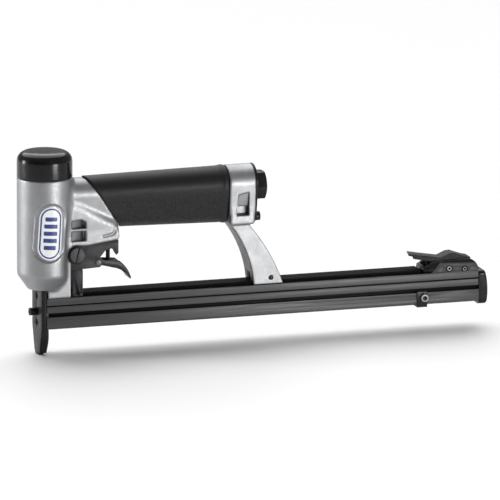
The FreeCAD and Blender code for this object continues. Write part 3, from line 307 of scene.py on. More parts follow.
def screw_face():
    """The pivot screw: a lighter turned face, with a black rim painted round it as the shadow of the recess
    it sits in.
    """
    material = new_material("screw_face", (0.05, 0.05, 0.052), 0.42, 0.2, Specular_IOR_Level=0.3)
    web = Web(material)
    ring_pitch = 0.35 * MM
    distance = web.distance_from(screw_box.middle.x, screw_box.middle.z)
    rings = web.math("SINE", web.math("MULTIPLY", distance, 2 * math.pi / ring_pitch), 0)
    # Painted shadow: beyond 5.1 to 5.5 mm from the axis the screw is coloured black.
    face = web.spread(distance, 1, 0, 5.1 * MM, 5.5 * MM)
    web.two_colours(face, (0.006, 0.006, 0.006), (0.062, 0.062, 0.065))
    web.roughness(web.spread(web.noise(900, 3), 0.34, 0.5))
    web.bump(rings, 0.012)
    return material


def ringed_plate():
    """Dark sheet steel with a black ring painted round each rivet as the shadow of its countersink."""
    material = new_material("ringed_plate", (0.075, 0.075, 0.077), 0.45, 0.1, Specular_IOR_Level=0.25)
    web = Web(material)
    # Painted shadow: a black ring round each rivet, out to 2.2 to 2.6 mm.
    outside_countersink_shadow = web.clear_of(web.spread(web.noise(260, 4), 0.8, 1), 2.2, 2.6, FRONT_RIVET, REAR_RIVET)
    web.two_colours(outside_countersink_shadow, (0.004, 0.004, 0.004), (0.088, 0.088, 0.091))
    web.roughness(web.spread(web.noise(900, 3), 0.42, 0.55))
    web.bump(web.noise(2400, 2), 0.02)
    return material


def rivet_heads():
    """Rivet ends: a light rim round a dimple painted dark as its shade."""
    material = new_material("rivet_steel", (0.4, 0.4, 0.41), 0.45, 0.3, Specular_IOR_Level=0.3)
    web = Web(material)
    # Painted shade: within 0.8 to 1.1 mm of each rivet's centre the colour is near black.
    rim = web.clear_of(web.spread(web.noise(900, 3), 0.8, 1), 0.8, 1.1, FRONT_RIVET, REAR_RIVET)
    web.two_colours(rim, (0.006, 0.006, 0.006), (0.50, 0.50, 0.51))
    web.roughness(web.spread(web.noise(900, 3), 0.38, 0.52))
    web.bump(web.noise(2400, 2), 0.01)
    return material


def socket_face():
    """A socket head: a light turned rim round its socket, which is painted black as shade."""
    material = new_material("socket_face", (0.3, 0.3, 0.31), 0.4, 0.3, Specular_IOR_Level=0.3)
    web = Web(material)
    centre = (stop_screw.middle.x, stop_screw.middle.z)
    # Painted shade: within 1.6 to 1.9 mm of the screw's axis the colour is near black.
    rim = web.clear_of(web.spread(web.noise(900, 3), 0.8, 1), 1.6, 1.9, centre)
    web.two_colours(rim, (0.006, 0.006, 0.006), (0.34, 0.34, 0.35))
    web.roughness(web.spread(web.noise(900, 3), 0.34, 0.5))
    web.bump(web.noise(2400, 2), 0.01)
    return material


def bright_steel():
    """Ground steel of pins, springs, the piston and the blade."""
    material = new_material("bright_steel", (0.55, 0.55, 0.57), 0.3, 1.0)
    web = Web(material)
    web.two_colours(web.spread(web.noise(300, 3), 0, 1), (0.46, 0.46, 0.48), (0.62, 0.62, 0.64))
    web.roughness(web.spread(web.noise(1.0, 3, (2000, 2000, 120)), 0.2, 0.42))
    web.bump(web.noise(1.0, 2, (3000, 3000, 200)), 0.01)
    return material


def moulded(name, dark, light, roughness, grain=800):
    """Plain rubber, urethane or plastic with a moulded skin."""
    material = new_material(name, light, roughness)
    web = Web(material)
    web.two_colours(web.spread(web.noise(150, 4), 0, 1), dark, light)
    web.roughness(web.spread(web.noise(grain, 3), roughness - 0.08, roughness + 0.1))
    web.bump(web.noise(grain * 2, 2), 0.02)
    return material


def brass():
    material = new_material("brass", (0.72, 0.52, 0.22), 0.3, 1.0)
    web = Web(material)
    web.two_colours(web.spread(web.noise(200, 4), 0, 1), (0.60, 0.42, 0.17), (0.78, 0.58, 0.26))
    web.roughness(web.spread(web.noise(1.0, 3, (200, 200, 3000)), 0.22, 0.4))
    web.bump(web.noise(1.0, 2, (200, 200, 4000)), 0.01)
    return material


MATERIALS = {
    "cast_aluminium": cast_aluminium("cast_aluminium"),
    "black_cap": glossy_black(),
    "grip_rubber": grip_rubber(),
    "magazine_gray": brushed("magazine_gray", (0.004, 0.004, 0.004), (0.078, 0.078, 0.081), 0.36, 0.52),
    "black_steel": blackened("black_steel", (0.006, 0.006, 0.006), (0.013, 0.013, 0.014), 0.28, 0.46),
    "dark_gray_steel": blackened(
        "dark_gray_steel", (0.026, 0.026, 0.028), (0.040, 0.040, 0.042), 0.36, 0.52, 0.2),
    "worn_steel": blackened("worn_steel", (0.12, 0.12, 0.125), (0.24, 0.24, 0.25), 0.34, 0.5),
    "bright_steel": bright_steel(),
    "seal_rubber": moulded("seal_rubber", (0.010, 0.010, 0.010), (0.020, 0.020, 0.020), 0.5),
    "bumper_rubber": moulded("bumper_rubber", (0.28, 0.05, 0.03), (0.38, 0.08, 0.05), 0.4),
    "badge_white": moulded("badge_white", (0.92, 0.93, 0.95), (0.97, 0.98, 1.0), 0.22, 500),
    "filter_mesh": moulded("filter_mesh", (0.45, 0.43, 0.36), (0.62, 0.60, 0.52), 0.7, 2500),
    "brass_bushing": brass(),
}
# The casting with painted shade on the faces that look forward, used for the rear bracket.
FORWARD_SHADED_CASTING = cast_aluminium("forward_shaded_casting", painted_forward_shade=3.0)
BADGE_BLUE = moulded("badge_blue", (0.012, 0.035, 0.18), (0.02, 0.05, 0.23), 0.24, 500)


# ---------------------------------------------------------------- CAD nodes that stay

def smooth_shaded(mesh, degrees=32):
    mesh.shade_smooth()
    mesh.set_sharp_from_angle(angle=math.radians(degrees))


def dress_cad_nodes():
    """Give each CAD node its slot's material, smooth curved faces and a small bevel on its edges."""
    for part in frame["record"]["subparts"]:
        piece = nodes[part["node"]]
        piece.data.materials.clear()
        piece.data.materials.append(OWN_MATERIALS.get(part["node"], MATERIALS[part["material_slot"]]))
        weld = piece.modifiers.new("weld", "WELD")
        weld.merge_threshold = 0.002 * MM
        if part["node"] in PLAIN_EDGES:
            smooth_shaded(piece.data)
            continue
        bevel = piece.modifiers.new("edges", "BEVEL")
        bevel.width = EDGE_WIDTHS.get(part["node"], 0.2) * MM
        bevel.segments = 2
        bevel.limit_method = "ANGLE"
        bevel.angle_limit = math.radians(35)
        bevel.harden_normals = True
        smooth_shaded(piece.data)


OWN_MATERIALS = {
    "pivot_screw": screw_face(),
    "nose_front_plate": blackened(
        "nose_steel", (0.010, 0.010, 0.011), (0.020, 0.020, 0.021), 0.36, 0.52, 0.2),
    "rail_top_strip": blackened("matt_black", (0.004, 0.004, 0.004), (0.007, 0.007, 0.007), 0.6, 0.8, 0.04),
    "trigger_pin": MATERIALS["worn_steel"],
    "latch_pins": rivet_heads(),
    "latch_lever": blackened("lever_steel", (0.014, 0.014, 0.015), (0.024, 0.024, 0.025), 0.4, 0.55, 0.14),
    "latch_side_plates": ringed_plate(),
    "stop_clip_screw": socket_face(),
    "latch_spring": MATERIALS["black_steel"],
}
PLAIN_EDGES = {"latch_side_plates", "latch_block", "latch_pins"}
EDGE_WIDTHS = {
    "magazine_rail": 0.3,
    "slide_channel": 0.3,
    "rail_top_strip": 0.35,
    "nose_front_plate": 0.35,
    "trigger": 0.35,
    "latch_lever": 0.3,
    "driver_blade": 0.08,
    "pusher_spring": 0.02,
    "head_valve_spring": 0.02,
    "valve_spring": 0.02,
    "latch_spring": 0.02,
}
dress_cad_nodes()


# ---------------------------------------------------------------- solids from distance fields

def blend_min(first, second, reach):
    """The union of two fields, with a fillet of about reach."""
    mix = np.clip(0.5 + 0.5 * (second - first) / reach, 0, 1)
    return second + (first - second) * mix - reach * mix * (1 - mix)


def blend_max(first, second, reach):
    """The overlap of two fields, with its edges rounded by about reach."""
    return -blend_min(-first, -second, reach)


def cut_away(field, tool, reach=0.4):
    return blend_max(field, -tool, reach)


class Grid:
    """A block of space with the distance to simple shapes at each point, negative inside."""

    def __init__(self, low, high, step):
        self.low = np.array(low, np.float32)
        self.step = step
        axes = []
        for start, stop in zip(low, high):
            count = int(math.ceil((stop - start) / step)) + 1
            axes.append((start + step * np.arange(count)).astype(np.float32))
        self.shape = tuple(len(axis) for axis in axes)
        self.x, self.y, self.z = np.meshgrid(*axes, indexing="ij", sparse=True)

    def slab(self, axis, low, high):
        """Between two places along an axis."""
        place = {"x": self.x, "y": self.y, "z": self.z}[axis]
        return np.abs(place - (low + high) / 2) - (high - low) / 2

    def rod(self, axis, first, second, radius):
        """An endless round bar along an axis; first and second place it across that axis."""
        across = {"x": (self.y, self.z), "y": (self.x, self.z), "z": (self.x, self.y)}[axis]
        return np.sqrt((across[0] - first) ** 2 + (across[1] - second) ** 2) - radius

    def block(self, x, y, z, rounding=0.3):
        field = blend_max(self.slab("x", *x), self.slab("y", *y), rounding)
        return blend_max(field, self.slab("z", *z), rounding)

    def egg(self, top_z, top_radius, low_z, low_radius):
        """An endless bar along X: two circles joined by tangent lines."""
        height = top_z - low_z
        lean = (low_radius - top_radius) / height
        side = math.sqrt(1 - lean * lean)
        across = np.abs(self.y)
        up = self.z - low_z
        reach = -lean * across + side * up
        low = np.sqrt(across ** 2 + up ** 2) - low_radius
        top = np.sqrt(across ** 2 + (up - height) ** 2) - top_radius
        straight = side * across + lean * up - low_radius
        return np.where(reach < 0, low, np.where(reach > side * height, top, straight))

    def outline(self, points):
        """An endless bar along Y whose side view is a closed outline of (x, z) corners."""
        corners = np.array(points, np.float32)
        following = np.roll(corners, -1, axis=0)
        nearest = np.full((self.shape[0], 1, self.shape[2]), 1e9, np.float32)
        inside = np.zeros(nearest.shape, bool)
        for (x0, z0), (x1, z1) in zip(corners, following):
            edge_x = x1 - x0
            edge_z = z1 - z0
            share = ((self.x - x0) * edge_x + (self.z - z0) * edge_z) / (edge_x ** 2 + edge_z ** 2)
            share = np.clip(share, 0, 1)
            gap = (self.x - x0 - share * edge_x) ** 2 + (self.z - z0 - share * edge_z) ** 2
            nearest = np.minimum(nearest, gap)
            crosses = (z0 > self.z) != (z1 > self.z)
            if z1 != z0:
                inside ^= crosses & (self.x < edge_x * (self.z - z0) / edge_z + x0)
        return np.where(inside, -1, 1) * np.sqrt(nearest)

    def piece(self, name, field, material, body, slot, *replaced):
        """The surface of a field as a Blender object that stands for CAD nodes."""
        volume = openvdb.FloatGrid(float(field.max()))
        volume.copyFromArray(np.ascontiguousarray(np.broadcast_to(field, self.shape), np.float32))
        points, quads = volume.convertToQuads(0.0)
        points = (points * self.step + self.low) * MM
        return finished_piece(name, points, quads[:, ::-1], material, body, slot, *replaced)


def finished_piece(name, points, faces, material, body, slot, *replaced, sharp=None):
    """A mesh object with outward normals, its material, its body and the nodes it replaces."""
    mesh = bpy.data.meshes.new(name)
    mesh.from_pydata([tuple(point) for point in points], [], [tuple(face) for face in faces])
    work = bmesh.new()
    work.from_mesh(mesh)
    bmesh.ops.recalc_face_normals(work, faces=work.faces)
    work.to_mesh(mesh)
    work.free()
    mesh.shade_smooth()
    if sharp is not None:
        mesh.set_sharp_from_angle(angle=math.radians(sharp))
    mesh.materials.append(material)
    piece = bpy.data.objects.new(name, mesh)
    bpy.context.scene.collection.objects.link(piece)
    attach(piece, body)
    if replaced:
        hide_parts(*replaced)
    return piece


def ring_faces(rings, count):
    """The faces between rings of count points each, with the last ring joined to the first."""
    faces = []
    for row in range(rings):
        following = (row + 1) % rings
        for number in range(count):
            beside = (number + 1) % count
            faces.append((row * count + number, row * count + beside,
                          following * count + beside, following * count + number))
    return faces


def arc_points(start, via, stop, count):
    """Points from start to stop along the circle through via, without the last one."""
    (ax, az), (bx, bz), (cx, cz) = start, via, stop
    turn = 2 * (ax * (bz - cz) + bx * (cz - az) + cx * (az - bz))
    a2, b2, c2 = ax * ax + az * az, bx * bx + bz * bz, cx * cx + cz * cz
    mx = (a2 * (bz - cz) + b2 * (cz - az) + c2 * (az - bz)) / turn
    mz = (a2 * (cx - bx) + b2 * (ax - cx) + c2 * (bx - ax)) / turn
    radius = math.hypot(ax - mx, az - mz)
    first = math.atan2(az - mz, ax - mx)
    middle = math.atan2(bz - mz, bx - mx)
    last = math.atan2(cz - mz, cx - mx)
    full = 2 * math.pi
    sweep = (last - first) % full
    if (middle - first) % full > sweep:
        sweep -= full
    angles = [first + sweep * number / count for number in range(count)]
    return [(mx + radius * math.cos(angle), mz + radius * math.sin(angle)) for angle in angles]


# ---------------------------------------------------------------- body casting

HOUSING_HALF = 11.5
WEB_REAR_X = 19.3
FOOT_RADIUS = 12.6
FOOT_Z = 48.2
TAPER_Z = 58.8
BARREL_BORE = 16.4
BUMPER_BORE = 13.6
BADGE_LEAN = math.radians(3.5)
BADGE_RECESS_RADIUS = 11.2
BADGE_RECESS_HALF = 21
CORE = (HANDLE_Z, 10.5, 97.5, 6.5)
HOLLOW = (HANDLE_Z, 8, 97.5, 4.2)


def smooth_step(share):
    share = np.clip(share, 0, 1)
    return share * share * (3 - 2 * share)


def build_casting():
    """Barrel, web, trigger housing and handle core as one casting with soft fillets."""
    half_width = BARREL_RADIUS + 2.5
    low = (casting.low.x - 2, -half_width, casting.low.z - 2)
    high = (casting.high.x + 2, half_width, casting.high.z + 2)
    grid = Grid(low, high, 0.6)

    body = blend_min(barrel_tube(grid), trigger_housing(grid), 3)
    body = blend_min(body, web_plate(grid), 2)
    core = np.maximum(grid.egg(*CORE), grid.slab("x", casting.low.x + 47, casting.high.x))
    lug = grid.block((15, 30), (-7.9, 7.9), (61.5, 82))
    body = np.minimum(np.minimum(body, core), lug)
    body = np.maximum(body, casting.low.z - grid.z)
    body = np.maximum(body, grid.z - casting.high.z)

    for tool, reach in housing_marks(grid):
        body = cut_away(body, tool, reach)
    body = cut_away(body, badge_recess(grid), 1.0)
    for tool in barrel_cavities(grid):
        body = np.maximum(body, -tool)
    grid.piece("body_casting_skin", body, MATERIALS["cast_aluminium"], "tool_frame", "cast_aluminium",
               "body_casting")


def barrel_tube(grid):
    """The upright barrel: a tapered foot, and a flat on its rear flanks that fades out upwards."""
    round_bar = grid.rod("z", BARREL_X, 0, BARREL_RADIUS)
    taper = math.atan2(BARREL_RADIUS - FOOT_RADIUS, TAPER_Z - FOOT_Z)
    cone = (round_bar + BARREL_RADIUS - FOOT_RADIUS) * math.cos(taper) - (grid.z - FOOT_Z) * math.sin(taper)
    tube = blend_max(round_bar, cone, 1.2)
    tube = blend_max(tube, grid.slab("z", FOOT_Z, casting.high.z), 0.5)
    relief = 17.6 + 5.6 * smooth_step((grid.z - 84) / 40)
    flank = 0.854 * (grid.x - BARREL_X) + 0.52 * np.abs(grid.y)
    return blend_max(tube, flank - relief, 3)


def web_plate(grid):
    """The plate under the housing, narrower where it meets the nose."""
    across = np.abs(grid.y)
    side = grid.outline([(2, casting.low.z), (WEB_REAR_X, casting.low.z), (WEB_REAR_X, 86), (2, 86)])
    plate = blend_max(side, across - HOUSING_HALF, 0.8)
    return np.maximum(plate, np.minimum(3.6 - grid.x, 8.3 - across))


def trigger_housing(grid):
    """The flat-sided housing above the trigger, melted into the round neck of the handle."""
    neck_corner = (grip_box.low.x + 2.1, 127.2)
    flank_side = grid.outline([
        (8, 72), (62, 72), (62, 84.2), (55.6, 90.4), (52, 93.9), (38.3, 100.9), (26.7, 106.7), (20, 109),
        (8, 111),
    ])
    flank = blend_max(flank_side, np.abs(grid.y) - HOUSING_HALF, 4)
    slope_side = grid.outline([(8, 84), (55.6, 84), (55.6, 93.4), neck_corner, (8, 127.2)])
    neck = blend_max(slope_side, grid.egg(HANDLE_Z, 11.9, 97.5, 9.4), 1.0)
    limit = grid.outline([
        (8, 79), (32.7, 79.3), (54.7, 82.3), (55.6, 84), (55.6, 93.4), neck_corner, (8, 127.2),
    ])
    return blend_max(blend_min(flank, neck, 5), limit, 0.9)


def housing_marks(grid):
    """What is sunk into the housing's flanks, with how far each edge is rounded."""
    across = np.abs(grid.y)
    pocket_front = 19.6
    marks = []
    for low_z, high_z, slant in ((92.2, 98.7, 2.3), (82.9, 90.1, 0)):
        pocket = grid.outline([
            (pocket_front, low_z), (30.6, low_z), (30.6, high_z - slant), (27, high_z),
            (pocket_front, high_z - slant / 3),
        ])
        floor = (10.9 - 0.52 * (grid.x - pocket_front) - across) * 0.89
        marks.append((blend_max(pocket, floor, 0.6), 0.5))
    groove = grid.outline([
        (43, 84.4), (50.6, 85.7), (52.8, 87.7), (53, 91.3),
        (51.8, 91.3), (51.6, 88.4), (50, 87), (43, 85.7),
    ])
    marks.append((blend_max(groove, HOUSING_HALF - 0.5 - across, 0.2), 0.3))
    return marks


def badge_recess(grid):
    """The shallow stadium that the label sits in."""
    turned = math.radians(-5)
    ahead = grid.x - BARREL_X
    around = ahead * math.cos(turned) + grid.y * math.sin(turned)
    outwards = -(-ahead * math.sin(turned) + grid.y * math.cos(turned))
    above = grid.z - badge_box.middle.z
    up = above * math.cos(BADGE_LEAN) + around * math.sin(BADGE_LEAN)
    sideways = around * math.cos(BADGE_LEAN) - above * math.sin(BADGE_LEAN)
    straight = BADGE_RECESS_HALF - BADGE_RECESS_RADIUS
    stadium = np.sqrt(sideways ** 2 + np.maximum(np.abs(up) - straight, 0) ** 2) - BADGE_RECESS_RADIUS
    shell = BARREL_RADIUS - 1.1 - np.sqrt(ahead ** 2 + grid.y ** 2)
    return blend_max(blend_max(stadium, shell, 0.5), 5 - outwards, 0.5)


def barrel_cavities(grid):
    """What is bored or milled out of the casting, as fields."""
    across = np.abs(grid.y)
    top = 140
    bores = ((BARREL_BORE, 60, top), (BUMPER_BORE, bumper.low.z, 62), (17.5, 123.5, top))
    tools = []
    for radius, low, high in bores:
        tools.append(np.maximum(grid.rod("z", BARREL_X, 0, radius), grid.slab("z", low, high)))
    blade_slot = grid.block((0.1, 2.5), (-5.7, 5.7), (40, 52.4), 0.1)
    handle_hollow = np.maximum(grid.egg(*HOLLOW), grid.slab("x", 38, 150))
    air_passage = np.maximum(grid.rod("x", 0, HANDLE_Z, 4), grid.slab("x", 17, 42))
    valve_bore = np.maximum(grid.rod("z", 50.2, 0, 3.8), grid.slab("z", 70, 104))
    screw_hole = grid.rod("y", screw_box.middle.x, screw_box.middle.z, 3)
    screw_seat = grid.rod("y", screw_box.middle.x, screw_box.middle.z, screw_box.size.x / 2 + 0.1)
    screw_seat = np.maximum(screw_seat, 9.6 - across)
    bracket_slots = np.maximum(grid.slab("x", 18.4, 34), grid.slab("z", 61.4, 79))
    bracket_slots = np.maximum(bracket_slots, np.abs(across - 8.8) - 0.85)
    tools += [blade_slot, handle_hollow, air_passage, valve_bore, screw_hole, screw_seat, bracket_slots]
    return tools


build_casting()


# ---------------------------------------------------------------- rear bracket

def build_rear_bracket():
    """The ring behind the grip and its curved strut."""
    grid = Grid((ring_box.low.x - 1.5, -15, ring_box.low.z - 1.5), (ring_box.high.x + 1.5, 15, 131), 0.5)
    across = np.abs(grid.y)
    foot_z = rail.high.z
    shoe_half = 11.9
    shoe_low_z = 87

    egg = grid.egg(RING_TOP_Z, 13, shoe_low_z + shoe_half, shoe_half)
    ring = blend_max(egg, grid.slab("x", ring_box.low.x, plate_box.low.x - 0.5), 0.6)
    chamfer = (egg - (grid.x - ring_box.low.x)) * math.sqrt(0.5) + 0.7
    ring = blend_max(ring, chamfer, 0.5)
    shoe_ends = (ring_box.low.x + 0.8, plate_box.low.x - 0.9)
    ring = blend_min(ring, grid.block(shoe_ends, (-shoe_half, shoe_half), (shoe_low_z, 101), 1.8), 0.4)

    front = arc_points((139.6, 86.6), (150.9, 67.1), (156.7, foot_z), 14)
    rear = arc_points((179, foot_z), (169.3, 63.6), (152, 88), 14)
    side = grid.outline([(140.5, 93)] + front + [(156.7, foot_z)] + rear + [(152, 93)])
    strut = np.maximum(blend_max(side, across - 10.1, 0.8), grid.z - 92)
    bracket = np.maximum(blend_min(ring, strut, 0.5), foot_z - grid.z)

    window = grid.outline([(143.6, 94), (152.5, 94), (152.5, 111), (144.8, 109.5)])
    floor = 8.6 + 3.2 * np.clip((grid.z - 99) / 12, 0, 1)
    bracket = cut_away(bracket, blend_max(window + 0.1, floor - across, 0.8), 0.7)
    hole = grid.outline([(143.8, 94.2), (152.3, 94.2), (152.3, 100.3), (143.8, 100.3)])
    bracket = cut_away(bracket, blend_max(hole, 6 - across, 0.6), 0.6)
    for tool in bracket_cavities(grid):
        bracket = np.maximum(bracket, -tool)
    grid.piece("rear_bracket_skin", bracket, FORWARD_SHADED_CASTING, "tool_frame", "cast_aluminium", "rear_bracket")


def bracket_cavities(grid):
    """What is bored or milled out of the rear bracket, as fields."""
    pin = Span("strut_pin")
    end_screw = Span("end_plate_screw")
    air_z = inlet.middle.z
    return [
        grid.block((150, 185), (-7.6, 7.6), (30, strip.low.z + 2.4)),
        grid.block((150, 185), (-3.1, 3.1), (30, 50.4)),
        grid.rod("y", pin.middle.x, pin.middle.z, 1.55),
        np.maximum(grid.rod("x", 0, air_z, 8), grid.x - 149.5),
        np.maximum(grid.rod("x", 0, air_z, 6.65), 149 - grid.x),
        np.maximum(grid.rod("x", 0, end_screw.middle.z, 1.95), 146 - grid.x),
    ]


build_rear_bracket()


# ---------------------------------------------------------------- cap and badge

def lathe(name, outline, material, body, slot, *replaced, count=128):
    """A closed outline of (radius, z) turned about the barrel's axis."""
    points = []
    for radius, z in outline:
        for number in range(count):
            angle = 2 * math.pi * number / count
            points.append(np.array((BARREL_X + radius * math.cos(angle), radius * math.sin(angle), z)) * MM)
    faces = ring_faces(len(outline), count)
    return finished_piece(name, points, faces, material, body, slot, *replaced, sharp=40)


def build_cap():
    """A domed cap whose rim is rolled over a wide radius, with a fine line above the joint."""
    top = barrel.high.z
    joint = casting.high.z
    spigot_low = barrel.low.z
    corner = 7
    steps = 12
    spigot = 17.45
    bore = 15.6
    outline = [(0.02, top), (BARREL_RADIUS - corner - 2.5, top - 0.1)]
    for number in range(steps + 1):
        angle = math.radians(80 - 80 * number / steps)
        outline.append((
            BARREL_RADIUS - corner + corner * math.cos(angle),
            top - 0.25 - corner + corner * math.sin(angle),
        ))
    outline += [
        (BARREL_RADIUS, joint + 1.5), (BARREL_RADIUS, joint + 0.5), (BARREL_RADIUS - 0.2, joint + 0.15),
        (BARREL_RADIUS - 0.5, joint + 0.1), (spigot, joint + 0.1), (spigot, spigot_low),
        (bore + 0.1, spigot_low), (bore, spigot_low + 0.3), (bore, top - 6.5), (bore - 1, top - 4.8),
        (bore - 2, top - 4.5), (0.02, top - 4.5),
    ]
    lathe("cap_skin", outline, MATERIALS["black_cap"], "tool_frame", "black_cap", "cap")


def on_barrel(across, up, depth):
    """A point of the label: across and up on its sheet, depth under the barrel's surface."""
    turned_across = across * math.cos(BADGE_LEAN) + up * math.sin(BADGE_LEAN)
    turned_up = up * math.cos(BADGE_LEAN) - across * math.sin(BADGE_LEAN)
    angle = math.radians(-4.5) + turned_across / BARREL_RADIUS
    radius = BARREL_RADIUS - depth
    x = BARREL_X + radius * math.sin(angle)
    return np.array((x, -radius * math.cos(angle), badge_box.middle.z + turned_up)) * MM


def stadium_rim(half_width, half_height, count=96):
    """Points (across, up) evenly round a stadium that stands upright."""
    reach = half_height - half_width
    points = []
    for number in range(count):
        angle = 2 * math.pi * (number + 0.5) / count
        shift = reach if math.sin(angle) > 0 else -reach
        points.append((half_width * math.cos(angle), shift + half_width * math.sin(angle)))
    return points


def label_band(name, loops, material, slot, *replaced):
    """Loops of (points, depth) joined in turn into a closed ring."""
    points = [on_barrel(across, up, depth) for loop, depth in loops for across, up in loop]
    faces = ring_faces(len(loops), len(loops[0][0]))
    return finished_piece(name, points, faces, material, "tool_frame", slot, *replaced, sharp=40)


def label_sheet(name, half_width, half_height, corner, depths, material, slot, up=0.0, *replaced):
    """A thin sheet with rounded corners, wrapped on the barrel at two depths and closed at its rim."""
    columns = 25
    straight = half_height - corner
    rounded = [straight + corner * math.sin(math.pi / 2 * step / 8) for step in range(8, -1, -1)]
    heights = rounded + list(np.linspace(straight, -straight, 12))[1:-1]
    heights += [-height for height in reversed(rounded)]
    points = []
    for depth in depths:
        for height in heights:
            over = max(abs(height) - straight, 0)
            wide = half_width - corner + math.sqrt(max(corner ** 2 - over ** 2, 0.0004))
            for column in range(columns):
                across = wide * (2 * column / (columns - 1) - 1)
                points.append(on_barrel(across, height + up, depth))
    rows = len(heights)
    sheet = rows * columns
    faces = []
    for row in range(rows - 1):
        for column in range(columns - 1):
            first = row * columns + column
            square = (first, first + 1, first + columns + 1, first + columns)
            faces.append(square)
            faces.append(tuple(sheet + index for index in reversed(square)))
    rim = list(range(columns)) + [row * columns + columns - 1 for row in range(1, rows)]
    rim += list(range(sheet - 2, sheet - columns - 1, -1))
    rim += [row * columns for row in range(rows - 2, 0, -1)]
    for point, beside in zip(rim, rim[1:] + rim[:1]):
        faces.append((point, beside, sheet + beside, sheet + point))
    return finished_piece(name, points, faces, material, "tool_frame", slot, *replaced, sharp=40)


def build_badge():
    """A blank white label with a blue keyline and plain blue stripes."""
    half_width = 8.9
    half_height = 19.4
    plate_depths = (0.2, 1.12)
    print_depths = (0.12, 0.21)
    stripe_pitch = 5.2
    label_sheet("badge_plate", half_width, half_height, half_width - 0.01, plate_depths,
                MATERIALS["badge_white"], "badge_white", 0.0, "badge")

    def ring(inset, depth):
        return stadium_rim(half_width - inset, half_height - inset), depth

    top, floor = print_depths
    keyline = [ring(1, floor), ring(1, top), ring(2.1, top), ring(2.1, floor)]
    label_band("badge_keyline", keyline, BADGE_BLUE, "badge_white")
    for number, half in enumerate((4.4, 5, 5, 5, 4.4)):
        label_sheet("badge_stripe_%d" % number, half, 1.5, 0.6, print_depths, BADGE_BLUE, "badge_white",
                    (number - 2) * stripe_pitch)


build_cap()
build_badge()


# ---------------------------------------------------------------- grip

def egg_ring(top_z, top_radius, low_z, low_radius, count):
    """Points (y, z) round an egg-shaped section, evenly spaced, starting at the bottom."""
    lean = math.asin((top_radius - low_radius) / (top_z - low_z))
    half_low = low_radius * (math.pi / 2 - lean)
    straight = (top_z - low_z) * math.cos(lean)
    half_top = top_radius * (math.pi / 2 + lean)
    total = half_low + straight + half_top
    points = []
    for number in range(count):
        travelled = 2 * total * number / count
        mirrored = travelled > total
        if mirrored:
            travelled = 2 * total - travelled
        if travelled < half_low:
            angle = travelled / low_radius - math.pi / 2
            y, z = low_radius * math.cos(angle), low_z + low_radius * math.sin(angle)
        elif travelled < half_low + straight:
            share = (travelled - half_low) / straight
            y = (low_radius + (top_radius - low_radius) * share) * math.cos(lean)
            z = low_z - low_radius * math.sin(lean)
            z += share * (top_z - low_z - (top_radius - low_radius) * math.sin(lean))
        else:
            angle = (travelled - half_low - straight) / top_radius - lean
            y, z = top_radius * math.cos(angle), top_z + top_radius * math.sin(angle)
        points.append((-y if mirrored else y, z))
    return points


def grip_section(share):
    """The section part of the way from the front (0) to the rear (1): it swells, then curls in at a lip."""
    lip = math.exp(-((share - 0.975) / 0.018) ** 2)
    return (
        HANDLE_Z + 0.5 * share, 12.4 + 0.7 * share + 0.55 * lip,
        97.6 - 1.2 * share, 8.0 + 0.6 * share + 0.55 * lip,
    )


def build_grip():
    """A rubber sleeve with a slanted front, rolled edges and a raised lip at the rear."""
    count = 144
    wall = 1.9
    rolled = 1.1
    rear_x = grip_box.high.x
    front_low = (57.4, 91.7)
    front_high = (32.1, 127.2)
    slope = (front_low[0] - front_high[0]) / (front_high[1] - front_low[1])
    length = rear_x - 45
    rows = []

    def add_row(offset, shrink):
        """One ring: offset millimetres behind the front plane, drawn in by shrink."""
        share = np.clip(offset / length, 0, 1)
        top_z, top_radius, low_z, low_radius = grip_section(share)
        row = []
        for y, z in egg_ring(top_z, top_radius - shrink, low_z, low_radius - shrink, count):
            start = front_low[0] - (z - front_low[1]) * slope
            row.append((start + offset / length * (rear_x - start), y, z))
        rows.append(row)

    rolls = [math.pi / 2 * number / 6 for number in range(7)]
    add_row(0.6, wall)
    for angle in rolls:
        add_row(rolled * (1 - math.sin(angle)), rolled * (1 - math.sin(angle)))
    for number in range(1, 90):
        add_row(rolled + (length - 2 * rolled) * number / 90, 0)
    for angle in rolls:
        add_row(length - rolled + rolled * math.sin(angle), rolled * (1 - math.cos(angle)))
    add_row(length, wall)
    points = [np.array(point) * MM for row in rows for point in row]
    faces = ring_faces(len(rows), count)
    finished_piece("grip_skin", points, faces, MATERIALS["grip_rubber"], "tool_frame", "grip_rubber",
                   "grip_sleeve")


build_grip()


# ---------------------------------------------------------------- stage, camera and light

def build_stage():
    floor = bpy.data.meshes.new("floor")
    reach = 9.0
    level = cad_low.z
    floor.from_pydata(
        [(-reach, -reach, level), (reach, -reach, level), (reach, reach, level), (-reach, reach, level)],
        [], [(0, 1, 2, 3)],
    )
    material = new_material("studio_floor", (0.93, 0.93, 0.93), 0.6)
    web = Web(material)
    web.two_colours(web.noise(6, 2), (0.925, 0.925, 0.925), (0.935, 0.935, 0.935))
    floor.materials.append(material)
    sheet = bpy.data.objects.new("floor", floor)
    bpy.context.scene.collection.objects.link(sheet)


def look_from(azimuth, elevation):
    """The direction from the object to a viewer; azimuth 0 looks along +Y."""
    turn = math.radians(azimuth)
    rise = math.radians(elevation)
    return Vector((math.sin(turn) * math.cos(rise), -math.cos(turn) * math.cos(rise), math.sin(rise)))


def aim(holder, target, back, distance):
    """Put a camera or a light at a distance from its target, looking at it."""
    holder.location = target + back * distance
    holder.rotation_mode = "QUATERNION"
    holder.rotation_quaternion = (-back).to_track_quat("-Z", "Y")
    bpy.context.scene.collection.objects.link(holder)


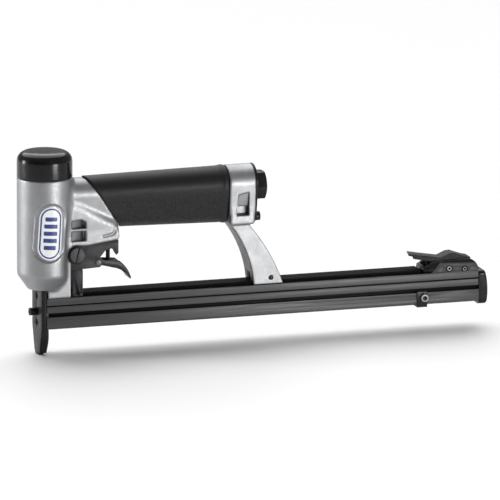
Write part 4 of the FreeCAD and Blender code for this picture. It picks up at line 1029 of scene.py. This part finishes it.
def build_camera():
    distance = 14
    field = 0.359
    camera = bpy.data.cameras.new("camera")
    camera.sensor_width = 36
    camera.lens = camera.sensor_width * distance / field
    camera.clip_end = 50
    holder = bpy.data.objects.new("camera", camera)
    aim(holder, Vector((157, 0, 65.7)) * MM, look_from(-17.5, 12.2), distance)
    bpy.context.scene.camera = holder


def area_light(name, azimuth, elevation, distance, width, height, watts, centre):
    """A soft panel that lights the object and isn't seen itself."""
    light = bpy.data.lights.new(name, "AREA")
    light.shape = "RECTANGLE"
    light.size = width
    light.size_y = height
    light.energy = watts
    holder = bpy.data.objects.new(name, light)
    holder.visible_camera = False
    aim(holder, Vector(centre), look_from(azimuth, elevation), distance)


def build_sky():
    """A pale sky that is dark toward the front left, which puts a dark band on the barrel."""
    world = bpy.data.worlds.new("studio")
    world.use_nodes = True
    tree = world.node_tree
    background = tree.nodes["Background"]
    background.inputs["Strength"].default_value = 0.3
    where = tree.nodes.new("ShaderNodeTexCoord")
    facing = tree.nodes.new("ShaderNodeVectorMath")
    facing.operation = "DOT_PRODUCT"
    facing.inputs[1].default_value = look_from(-42, 4)
    shade = tree.nodes.new("ShaderNodeMapRange")
    for socket, value in (("From Min", 0.5), ("From Max", 0.95), ("To Min", 1), ("To Max", 0.05)):
        shade.inputs[socket].default_value = value
    tree.links.new(where.outputs["Generated"], facing.inputs[0])
    tree.links.new(facing.outputs["Value"], shade.inputs["Value"])
    tree.links.new(shade.outputs["Result"], background.inputs["Color"])
    bpy.context.scene.world = world


def build_lights():
    area_light("front", 20, 0, 0.9, 0.3, 0.12, 3.6, (0.16, 0, 0.062))
    area_light("left", -110, 4, 1.5, 0.3, 0.7, 12, (0.16, 0, 0.08))
    sun = bpy.data.lights.new("ceiling", "SUN")
    sun.energy = 2.7
    sun.angle = math.radians(70)
    holder = bpy.data.objects.new("ceiling", sun)
    holder.rotation_euler = (math.radians(-33), math.radians(8), 0)
    bpy.context.scene.collection.objects.link(holder)


build_stage()
build_camera()
build_sky()
build_lights()
bpy.context.scene.view_settings.view_transform = "Standard"
